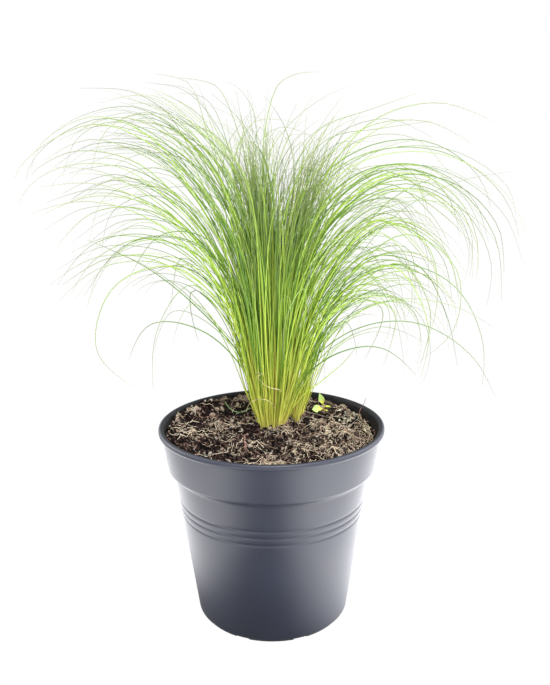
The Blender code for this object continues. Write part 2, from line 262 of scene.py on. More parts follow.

# Its lip: the same plastic, rubbed dull by hands and other pots, so it takes the light only softly. It is
# coloured darker than the body's slate grey, as painted shade on the lip.
scuffed_and_shaded = mottled_material(
    "scuffed_and_painted_shade_polypropylene",
    {"Scale": 160.0, "Detail": 4.0},
    ((0.3, "#0D0F13"), (0.6, "#15171C"), (0.8, "#27272C")),
    Roughness=0.62,
    Specular_IOR_Level=0.18,
)
pot.data.materials.clear()
for material in (polypropylene, stained_and_shaded, scuffed_and_shaded):
    pot.data.materials.append(material)
for face in pot.data.polygons:
    radius, height = face.center.xy.length / MM, face.center.z / MM
    # Inside the wall: stained plastic that is also painted dark as shade
    if FLOOR_BOTTOM < height < LIP_FROM and radius < inner_radius(height) + 0.5:
        face.material_index = 1
    # The lip's top: dull plastic, painted darker as shade
    elif height > LIP_FROM and radius < LIP_RADIUS:
        face.material_index = 2
dress(pot, "pot_plastic", "pot")


# Compost: peat and composted bark, settled a little higher at the back left than at the right. It is loose
# and dark, filled by hand up to a finger below the rim, and its top has dried out into lumps and hollows.
SOIL_LEVEL = 158.3
SOIL_SLOPE = 0.030
SOIL_HIGH_SIDE = (-0.6, 0.8)
SOIL_LUMP_HEIGHT = 0.6
SOIL_LUMP_SPACING = 60.0
CROWN = Vector((0.0, 20.0))
MOUND_HEIGHT = 1.2
MOUND_RADIUS = 30.0
COMPOST_GAP = 0.6
EDGE_RADIUS = inner_radius(SOIL_LEVEL) - COMPOST_GAP
COMPOST_RINGS = 110
COMPOST_SECTORS = 420

# The groove where it has shrunk from the wall, and the bank behind, between two shares of the radius
SHRINK_WIDTH = 7.0
SHRINK_DEPTH = 1.2
BANK_HEIGHT = 5.0
BANK_START = 0.68
BANK_END = 0.95
BANK_TURN = math.radians(35)

# Spacing and swing of the lumps in mm, and the hollows as place, radius and depth
RELIEF = ((19.0, 4.0), (8.0, 3.4), (3.2, 2.0), (1.4, 1.0))
HOLLOWS = ((24.0, -4.0, 9.0, 3.0), (-36.0, 44.0, 14.0, 1.6), (-16.0, 4.0, 6.0, 1.5), (78.0, 24.0, 8.0, 2.0))


def compost_level(x, y):
    """Height in mm of the compost as the solid has it, without its crumbs."""
    away = (Vector((x, y)) - CROWN).length
    mound = MOUND_HEIGHT * math.exp(-((away / MOUND_RADIUS) ** 2))
    wave = math.tau / SOIL_LUMP_SPACING
    lump = SOIL_LUMP_HEIGHT * math.sin(wave * x + 0.8) * math.cos(wave * y)
    return SOIL_LEVEL + SOIL_SLOPE * (SOIL_HIGH_SIDE[0] * x + SOIL_HIGH_SIDE[1] * y) + mound + lump


def compost_height(x, y):
    """Height in mm with lumps, hollows, the bank behind and the groove where it has shrunk from the wall."""
    height = compost_level(x, y)
    for number, (spacing, swing) in enumerate(RELIEF):
        height += swing * noise.noise(Vector((x / spacing, y / spacing, 7.0 * number)))
    for hollow_x, hollow_y, radius, depth in HOLLOWS:
        height -= depth * math.exp(-(((x - hollow_x) ** 2 + (y - hollow_y) ** 2) / radius**2))
    outward = math.hypot(x, y) / EDGE_RADIUS
    rise = min(max((outward - BANK_START) / (BANK_END - BANK_START), 0.0), 1.0)
    behind = 0.5 + 0.5 * math.sin(math.atan2(y, x) - BANK_TURN)
    height += BANK_HEIGHT * behind * rise**2 * (3 - 2 * rise)
    near_wall = max(0.0, 1 - EDGE_RADIUS * (1 - outward) / SHRINK_WIDTH)
    return height - SHRINK_DEPTH * near_wall**2


working = bmesh.new()
angles = [math.tau * i / COMPOST_SECTORS for i in range(COMPOST_SECTORS)]
rows = []
for r, z in [(INNER_WALL[0][0], FLOOR_TOP + COMPOST_GAP), *INNER_WALL[1:5]]:
    rows.append([((r - COMPOST_GAP) * math.cos(a), (r - COMPOST_GAP) * math.sin(a), z) for a in angles])
for ring in range(COMPOST_RINGS, 0, -1):
    r = EDGE_RADIUS * ring / COMPOST_RINGS
    flat = [(r * math.cos(a), r * math.sin(a)) for a in angles]
    rows.append([(x, y, compost_height(x, y)) for x, y in flat])
rings = [[working.verts.new(Vector(point) * MM) for point in row] for row in rows]
for low, high in zip(rings, rings[1:]):
    for i in range(COMPOST_SECTORS):
        j = (i + 1) % COMPOST_SECTORS
        working.faces.new((low[i], low[j], high[j], high[i]))
working.faces.new(tuple(reversed(rings[0])))
middle = working.verts.new(Vector((0.0, 0.0, compost_height(0.0, 0.0))) * MM)
for i in range(COMPOST_SECTORS):
    working.faces.new((rings[-1][i], rings[-1][(i + 1) % COMPOST_SECTORS], middle))
compost = add_object("compost", mesh_of(working, "compost"))
compost.data.shade_smooth()

# Peat: moist and fibrous, nearly black in its hollows and brown where it has dried, with no shine. One grain
# drives both its colour and its bump, so the black of the hollows is partly its own wet colour and partly
# painted shade.
# Its grains are 1 to 3 mm, so the colour changes at that scale.
peat, tree, shader = new_material("dried_peat", Roughness=0.95, Specular_IOR_Level=0.04)
place = add_node(tree, "ShaderNodeTexCoord", output="Object")
fibres = {"Vector": place, "Scale": 480.0, "Detail": 6.0, "Roughness": 0.7}
grain = add_node(tree, "ShaderNodeTexNoise", fibres)
browns = ((0.38, "#030303"), (0.52, "#110C0C"), (0.61, "#3F2E2B"), (0.70, "#745850"), (0.82, "#98786C"))
brown = add_node(tree, "ShaderNodeValToRGB", (grain,), stops=browns)
tree.links.new(brown, shader.inputs["Base Color"])
bump = add_node(tree, "ShaderNodeBump", {"Strength": 0.9, "Distance": 0.0015, "Height": grain})
tree.links.new(bump, shader.inputs["Normal"])
compost.data.materials.append(peat)
dress(compost, "compost", "soil")


# Crumbs of the compost: peat grains, bark fines and a few chips, lying loose on its top.
# They are strewn over it in drifts, each pressed a little into the surface and turned its own way.
DRIFT_SCALE = 55.0
DRIFT_EDGE = 0.25
COMPOST_TOP_FROM = 0.150
MOSTLY_SMALL = 2.5

# A crumb's length, width and thickness against its own size
LEAST_FORM = (0.45, 0.55, 0.30)
MOST_FORM = (1.6, 1.2, 0.9)

# Each kind: grains per square metre, the compost's bare share, smallest and largest size in m, and its seed.
# The pale kinds lie in one spot only, within a radius in mm of a place.
CRUMBS = (
    ("compost_fines", 285000.0, 0.26, 0.0003, 0.0012, 11, None),
    ("compost_crumbs", 66000.0, 0.32, 0.0010, 0.0026, 12, None),
    ("pale_grains", 260000.0, 0.1, 0.0005, 0.0016, 31, ((68.0, 38.0), 11.0)),
    ("pale_chips", 50000.0, 0.1, 0.0005, 0.0026, 33, ((-52.0, -50.0), 7.0)),
)


def new_geometry_tree(name, sizes):
    """A Geometry Nodes tree with a geometry in and out and a named input for each size."""
    tree = bpy.data.node_groups.new(name, "GeometryNodeTree")
    tree.interface.new_socket("Geometry", in_out="INPUT", socket_type="NodeSocketGeometry")
    for size, value in sizes.items():
        kind = {int: "NodeSocketInt", float: "NodeSocketFloat", tuple: "NodeSocketVector"}[type(value)]
        tree.interface.new_socket(size, in_out="INPUT", socket_type=kind).default_value = value
    tree.interface.new_socket("Material", in_out="INPUT", socket_type="NodeSocketMaterial")
    tree.interface.new_socket("Geometry", in_out="OUTPUT", socket_type="NodeSocketGeometry")
    return tree, tree.nodes.new("NodeGroupInput").outputs


def end_tree(tree, geometry, given):
    """Realises the instances, gives them their material and ends the tree."""
    real = add_node(tree, "GeometryNodeRealizeInstances", (geometry,))
    painted = add_node(tree, "GeometryNodeSetMaterial", {"Geometry": real, "Material": given["Material"]})
    add_node(tree, "NodeGroupOutput", (painted,))


def grow(tree, base, name, material, **sizes):
    """Runs a tree on a base object with its inputs set, and returns the result as a plain mesh object."""
    source = add_object(name + "_source", base.data)
    modifier = source.modifiers.new("grow", "NODES")
    modifier.node_group = tree
    identifiers = {s.name: s.identifier for s in tree.interface.items_tree if s.in_out == "INPUT"}
    for size, value in sizes.items():
        modifier[identifiers[size.replace("_", " ")]] = value
    modifier[identifiers["Material"]] = material
    return as_plain_mesh(source, name)


def chain(tree, kind, value, *steps):
    """Passes a value through nodes of one kind, and returns the last result.

    Each step is an operation and the inputs that follow the value.
    """
    for operation, *others in steps:
        value = add_node(tree, kind, (value, *others), operation=operation)
    return value


def strewn_points(tree, given):
    """Points in drifts over the top of the compost, each with its own tone from 0 to 1."""
    here = add_node(tree, "GeometryNodeInputPosition")
    height = add_node(tree, "ShaderNodeSeparateXYZ", (here,), "Z")
    on_top = add_node(tree, "ShaderNodeMath", (height, COMPOST_TOP_FROM), operation="GREATER_THAN")
    drift = add_node(tree, "ShaderNodeTexNoise", {"Vector": here, "Scale": DRIFT_SCALE, "Detail": 2.0})
    right = add_node(tree, "ShaderNodeSeparateXYZ", (here,), "X")
    drift = chain(tree, "ShaderNodeMath", right, ("MULTIPLY_ADD", given["Denser to the right"], drift))
    fullest = chain(tree, "ShaderNodeMath", given["Bare share"], ("ADD", DRIFT_EDGE))
    share = add_node(tree, "ShaderNodeMapRange", (drift, given["Bare share"], fullest))
    density = chain(tree, "ShaderNodeMath", share, ("MULTIPLY", given["Per square metre"]))
    ground = {"Mesh": given["Geometry"], "Selection": on_top}
    strewn = {**ground, "Density": density, "Seed": given["Seed"]}
    spots = add_node(tree, "GeometryNodeDistributePointsOnFaces", strewn)
    tone = add_node(tree, "FunctionNodeRandomValue", {"Min": 0.0, "Max": 1.0, "Seed": 3})
    stored = {"Geometry": spots, "Name": "tone", "Value": tone}
    return add_node(tree, "GeometryNodeStoreNamedAttribute", stored)


def compost_near(centre, radius, name):
    """A copy of the compost's top within a radius in mm of a place."""
    working = bmesh.new()
    working.from_mesh(compost.data)
    far = [f for f in working.faces if (f.calc_center_median().xy / MM - Vector(centre)).length > radius]
    bmesh.ops.delete(working, geom=far, context="FACES")
    return add_object(name, mesh_of(working, name))


tree, given = new_geometry_tree(
    "crumbs_on_compost",
    {
        "Per square metre": 1.0,
        "Bare share": 0.3,
        "Denser to the right": 0.4,
        "Smallest": 0.0004,
        "Largest": 0.002,
        "Seed": 1,
    },
)
grain = add_node(tree, "GeometryNodeMeshIcoSphere", {"Radius": 1.0, "Subdivisions": 1})
any_way = {"Min": (0.0, 0.0, 0.0), "Max": (math.tau,) * 3, "Seed": 5}
turned = add_node(tree, "FunctionNodeRandomValue", any_way, data_type="FLOAT_VECTOR")
draw = add_node(tree, "FunctionNodeRandomValue", {"Min": 0.0, "Max": 1.0, "Seed": 6})
mostly_small = add_node(tree, "ShaderNodeMath", (draw, MOSTLY_SMALL), operation="POWER")
sizes = {"To Min": given["Smallest"], "To Max": given["Largest"]}
size = add_node(tree, "ShaderNodeMapRange", {"Value": mostly_small, **sizes})
forms = {"Min": LEAST_FORM, "Max": MOST_FORM, "Seed": 7}
uneven = add_node(tree, "FunctionNodeRandomValue", forms, data_type="FLOAT_VECTOR")
scale = add_node(tree, "ShaderNodeVectorMath", (uneven, size), operation="SCALE")
each = {"Instance": grain, "Rotation": turned, "Scale": scale}
grains = add_node(tree, "GeometryNodeInstanceOnPoints", {"Points": strewn_points(tree, given), **each})
end_tree(tree, grains, given)
crumb_tree = tree

# Bark fines and dried peat: matt and broken, from near black to tan, with reddish bark and a few pale grains.
crumb_stuff, tree, shader = new_material("bark_and_peat_crumbs", Roughness=0.9, Specular_IOR_Level=0.08)
tone = add_node(tree, "ShaderNodeAttribute", output="Fac", attribute_name="tone")
place = add_node(tree, "ShaderNodeTexCoord", output="Object")
fleck = add_node(tree, "ShaderNodeTexNoise", {"Vector": place, "Scale": 900.0, "Detail": 3.0})
barks = ((0.00, "#0B0909"), (0.38, "#1B1614"), (0.58, "#342825"), (0.72, "#6C574E"))
barks += ((0.82, "#907A6F"), (0.90, "#A69688"), (0.97, "#948A7E"), (1.00, "#A8A096"))
kinds = add_node(tree, "ShaderNodeValToRGB", (tone,), stops=barks)
shade = add_node(tree, "ShaderNodeMapRange", (fleck, 0.3, 0.7, 0.55, 1.3))
flecked = add_node(tree, "ShaderNodeVectorMath", (kinds, shade), operation="SCALE")
tree.links.new(flecked, shader.inputs["Base Color"])

# Perlite and dried moss: the same crumbs, faded to whitish grey and grey green.
pale_stuff, tree, shader = new_material("pale_grains", Roughness=0.9, Specular_IOR_Level=0.2)
tone = add_node(tree, "ShaderNodeAttribute", output="Fac", attribute_name="tone")
greys = ((0.0, "#4F5248"), (0.35, "#86897A"), (0.7, "#B9B39C"), (1.0, "#E4DFD0"))
faded = add_node(tree, "ShaderNodeValToRGB", (tone,), stops=greys)
tree.links.new(faded, shader.inputs["Base Color"])

for name, density, bare, smallest, largest, seed, spot in CRUMBS:
    ground = compost_near(*spot, name + "_spot") if spot else compost
    crumbs = grow(
        crumb_tree,
        ground,
        name,
        pale_stuff if spot else crumb_stuff,
        Per_square_metre=density,
        Bare_share=bare,
        Smallest=smallest,
        Largest=largest,
        Seed=seed,
    )
    if spot:
        bpy.data.objects.remove(ground)
    dress(crumbs, "compost")


# Dead roots of the plug: a mat of hair-thin tan roots that has dried on the compost, curled and crossing.
# Each lies on the surface and lifts off it a little between its ends.
ROOT_POINTS = 14
ROOT_WANDER_SCALE = 160.0
ROOT_WANDER = 0.007
ROOT_LIMIT = 0.0855
RAY_START = 0.2
RAY_LENGTH = 0.1

# Each kind: roots per square metre, the compost's bare share, shortest, longest and half width in m, the most
# turns that one winds, and its seed
ROOTS = (
    ("curled_roots", 104000.0, 0.46, 0.005, 0.016, 0.00011, 12.0, 21),
    ("long_roots", 26000.0, 0.42, 0.016, 0.042, 0.00015, 3.5, 22),
)


def level_direction(tree, angle):
    """A level vector of length 1 at an angle about +Z."""
    cosine = add_node(tree, "ShaderNodeMath", (angle,), operation="COSINE")
    sine = add_node(tree, "ShaderNodeMath", (angle,), operation="SINE")
    return add_node(tree, "ShaderNodeCombineXYZ", {"X": cosine, "Y": sine})


def of_each(tree, low, high, seed):
    """A number drawn once for each strand, the same at all its points."""
    draw = add_node(tree, "FunctionNodeRandomValue", {"Min": low, "Max": high, "Seed": seed})
    return add_node(tree, "GeometryNodeFieldOnDomain", (draw,), domain="CURVE")


tree, given = new_geometry_tree(
    "roots_on_compost",
    {
        "Per square metre": 1.0,
        "Bare share": 0.3,
        "Denser to the right": 1.15,
        "Shortest": 0.006,
        "Longest": 0.026,
        "Half width": 0.0002,
        "Turns": 9.0,
        "Curl": 0.0030,
        "Lift": 0.0024,
        "Limit": ROOT_LIMIT,
        "Seed": 1,
    },
)
line = add_node(tree, "GeometryNodeCurvePrimitiveLine", {"Start": (-0.5, 0.0, 0.0), "End": (0.5, 0.0, 0.0)})
line = add_node(tree, "GeometryNodeResampleCurve", {"Curve": line, "Count": ROOT_POINTS})
draw = add_node(tree, "FunctionNodeRandomValue", {"Min": 0.0, "Max": math.tau, "Seed": 5})
turned = add_node(tree, "ShaderNodeCombineXYZ", {"Z": draw})
lengths = {"Min": given["Shortest"], "Max": given["Longest"], "Seed": 6}
length = add_node(tree, "FunctionNodeRandomValue", lengths)
straight = {"Instance": line, "Rotation": turned, "Scale": length}
laid = add_node(tree, "GeometryNodeInstanceOnPoints", {"Points": strewn_points(tree, given), **straight})
laid = add_node(tree, "GeometryNodeRealizeInstances", (laid,))
along = add_node(tree, "GeometryNodeSplineParameter", output="Factor")

# Along its length a root winds round its own straight line and wanders with the lumps under it
turns, first_turn = of_each(tree, 0.1, 1.0, 8), of_each(tree, 0.0, math.tau, 9)
spun = chain(tree, "ShaderNodeMath", turns, ("MULTIPLY", given["Turns"]), ("MULTIPLY_ADD", along, first_turn))
swing = chain(tree, "ShaderNodeMath", of_each(tree, 0.2, 1.0, 10), ("MULTIPLY", given["Curl"]))
here = add_node(tree, "GeometryNodeInputPosition")
wound = chain(tree, "ShaderNodeVectorMath", level_direction(tree, spun), ("SCALE", swing), ("ADD", here))
lumps = {"Vector": wound, "Scale": ROOT_WANDER_SCALE, "Detail": 1.0}
wander = add_node(tree, "ShaderNodeTexNoise", lumps, "Color")
most = (ROOT_WANDER, ROOT_WANDER, 0.0)
centred = ("SUBTRACT", (0.5, 0.5, 0.5))
moved = chain(tree, "ShaderNodeVectorMath", wander, centred, ("MULTIPLY_ADD", most, wound))

# It stays inside the pot and lies on what is straight below it
flat = chain(tree, "ShaderNodeVectorMath", moved, ("MULTIPLY", (1.0, 1.0, 0.0)))
reach = chain(tree, "ShaderNodeVectorMath", flat, ("LENGTH",))
inside = chain(tree, "ShaderNodeMath", given["Limit"], ("DIVIDE", reach), ("MINIMUM", 1.0))
above = chain(tree, "ShaderNodeVectorMath", flat, ("SCALE", inside), ("ADD", (0.0, 0.0, RAY_START)))
ray = {"Source Position": above, "Ray Direction": (0.0, 0.0, -1.0), "Ray Length": RAY_LENGTH}
ground = add_node(tree, "GeometryNodeRaycast", {"Target Geometry": given["Geometry"], **ray}, "Hit Position")
own_lift = chain(tree, "ShaderNodeMath", of_each(tree, 0.0, 1.0, 12), ("POWER", 2.0))
arch = chain(tree, "ShaderNodeMath", along, ("MULTIPLY", math.pi), ("SINE",), ("MULTIPLY", own_lift))
lift = chain(tree, "ShaderNodeMath", arch, ("MULTIPLY_ADD", given["Lift"], given["Half width"]))
lift = add_node(tree, "ShaderNodeCombineXYZ", {"Z": lift})
raised = add_node(tree, "ShaderNodeVectorMath", (ground, lift), operation="ADD")
laid = add_node(tree, "GeometryNodeSetPosition", {"Geometry": laid, "Position": raised})
width = chain(tree, "ShaderNodeMath", of_each(tree, 0.6, 1.5, 14), ("MULTIPLY", given["Half width"]))
round_section = add_node(tree, "GeometryNodeCurvePrimitiveCircle", {"Resolution": 3, "Radius": 1.0})
skin = {"Profile Curve": round_section, "Scale": width, "Fill Caps": True}
strands = add_node(tree, "GeometryNodeCurveToMesh", {"Curve": laid, **skin})
end_tree(tree, add_node(tree, "GeometryNodeSetShadeSmooth", (strands,)), given)
root_tree = tree

# Dried root: a dull woody skin, pale tan where the bark has come off and brown where it holds.
root_skin, tree, shader = new_material("dried_root", Roughness=0.8)
tone = add_node(tree, "ShaderNodeAttribute", output="Fac", attribute_name="tone")
place = add_node(tree, "ShaderNodeTexCoord", output="Object")
mottle = add_node(tree, "ShaderNodeTexNoise", {"Vector": place, "Scale": 250.0, "Detail": 3.0})
mixed = add_node(tree, "ShaderNodeMath", (mottle, 0.7, tone), operation="MULTIPLY_ADD")
tans = ((0.35, "#1C1310"), (0.60, "#5A4539"), (0.85, "#A48670"), (1.08, "#DABE9E"), (1.30, "#F2E4C8"))
tan = add_node(tree, "ShaderNodeValToRGB", (mixed,), stops=tans)
tree.links.new(tan, shader.inputs["Base Color"])
for name, density, bare, shortest, longest, half_width, turns, seed in ROOTS:
    roots = grow(
        root_tree,
        compost,
        name,
        root_skin,
        Per_square_metre=density,
        Bare_share=bare,
        Shortest=shortest,
        Longest=longest,
        Half_width=half_width,
        Turns=turns,
        Seed=seed,
    )
    dress(roots, "compost")


# Grass: hair-thin rolled blades that rise from one crown in sheaves and bend over under their own weight.
# Each blade follows the line of the sheaf that it stands in, and leaves it a little towards its tip.
SHEAF_SIDES = 6
WAVES_PER_BLADE = 2.6
GATHERED_UP_TO = 0.22
TAPER_POWER = 3.0
SPREAD_ANGLE = 1.25
ROSY_SHARE = 0.07
DEAD_SHARE = 0.001

# Each part of the clump: the sheaves that it takes in, how many blades stand in each, and how they grow.
# The middle stands close and upright, and the rings round it are looser and droop.
UPRIGHT = {"Half_width": 0.00050, "Wave": 0.42, "Curl": 0.4, "Most_droop": 0.9, "Droop_lateness": 3.5}
CORE = {"Fan": 0.16, "Lean": 0.05, "Points_per_blade": 30, "Least_reach": 0.5, "Least_size": 0.7}
HEART = {"Fan": 0.28, "Lean": 0.09, "Points_per_blade": 34, "Least_reach": 0.6, "Least_size": 0.9}
INNER = {"Half_width": 0.00051, "Fan": 0.36, "Wave": 0.4, "Curl": 0.5, "Least_reach": 0.5, "Most_droop": 1.0}
OUTER = {"Half_width": 0.00050, "Fan": 0.40, "Curl": 0.6, "Least_reach": 0.45, "Most_size": 1.06}
SIDE_SHOOT = {"Half_width": 0.00056, "Fan": 0.08, "Lean": 0.03, "Least_reach": 0.5}
SHEAVES = (
    ("grass_core", range(1, 2), 54, {**UPRIGHT, **CORE, "Most_size": 0.96}),
    ("grass_heart", range(2, 8), 64, {**UPRIGHT, **HEART, "Most_size": 1.10}),
    ("grass_inner_arcs", range(8, 20), 12, {**INNER, "Least_droop": -0.6}),
    ("grass_outer_arcs", range(20, 38), 5, {**OUTER, "Least_droop": -0.6}),
    ("grass_side_shoot", range(38, 43), 8, {**SIDE_SHOOT, "Gathered_foot": 0.12, "Foot_spread": 0.0018}),
)

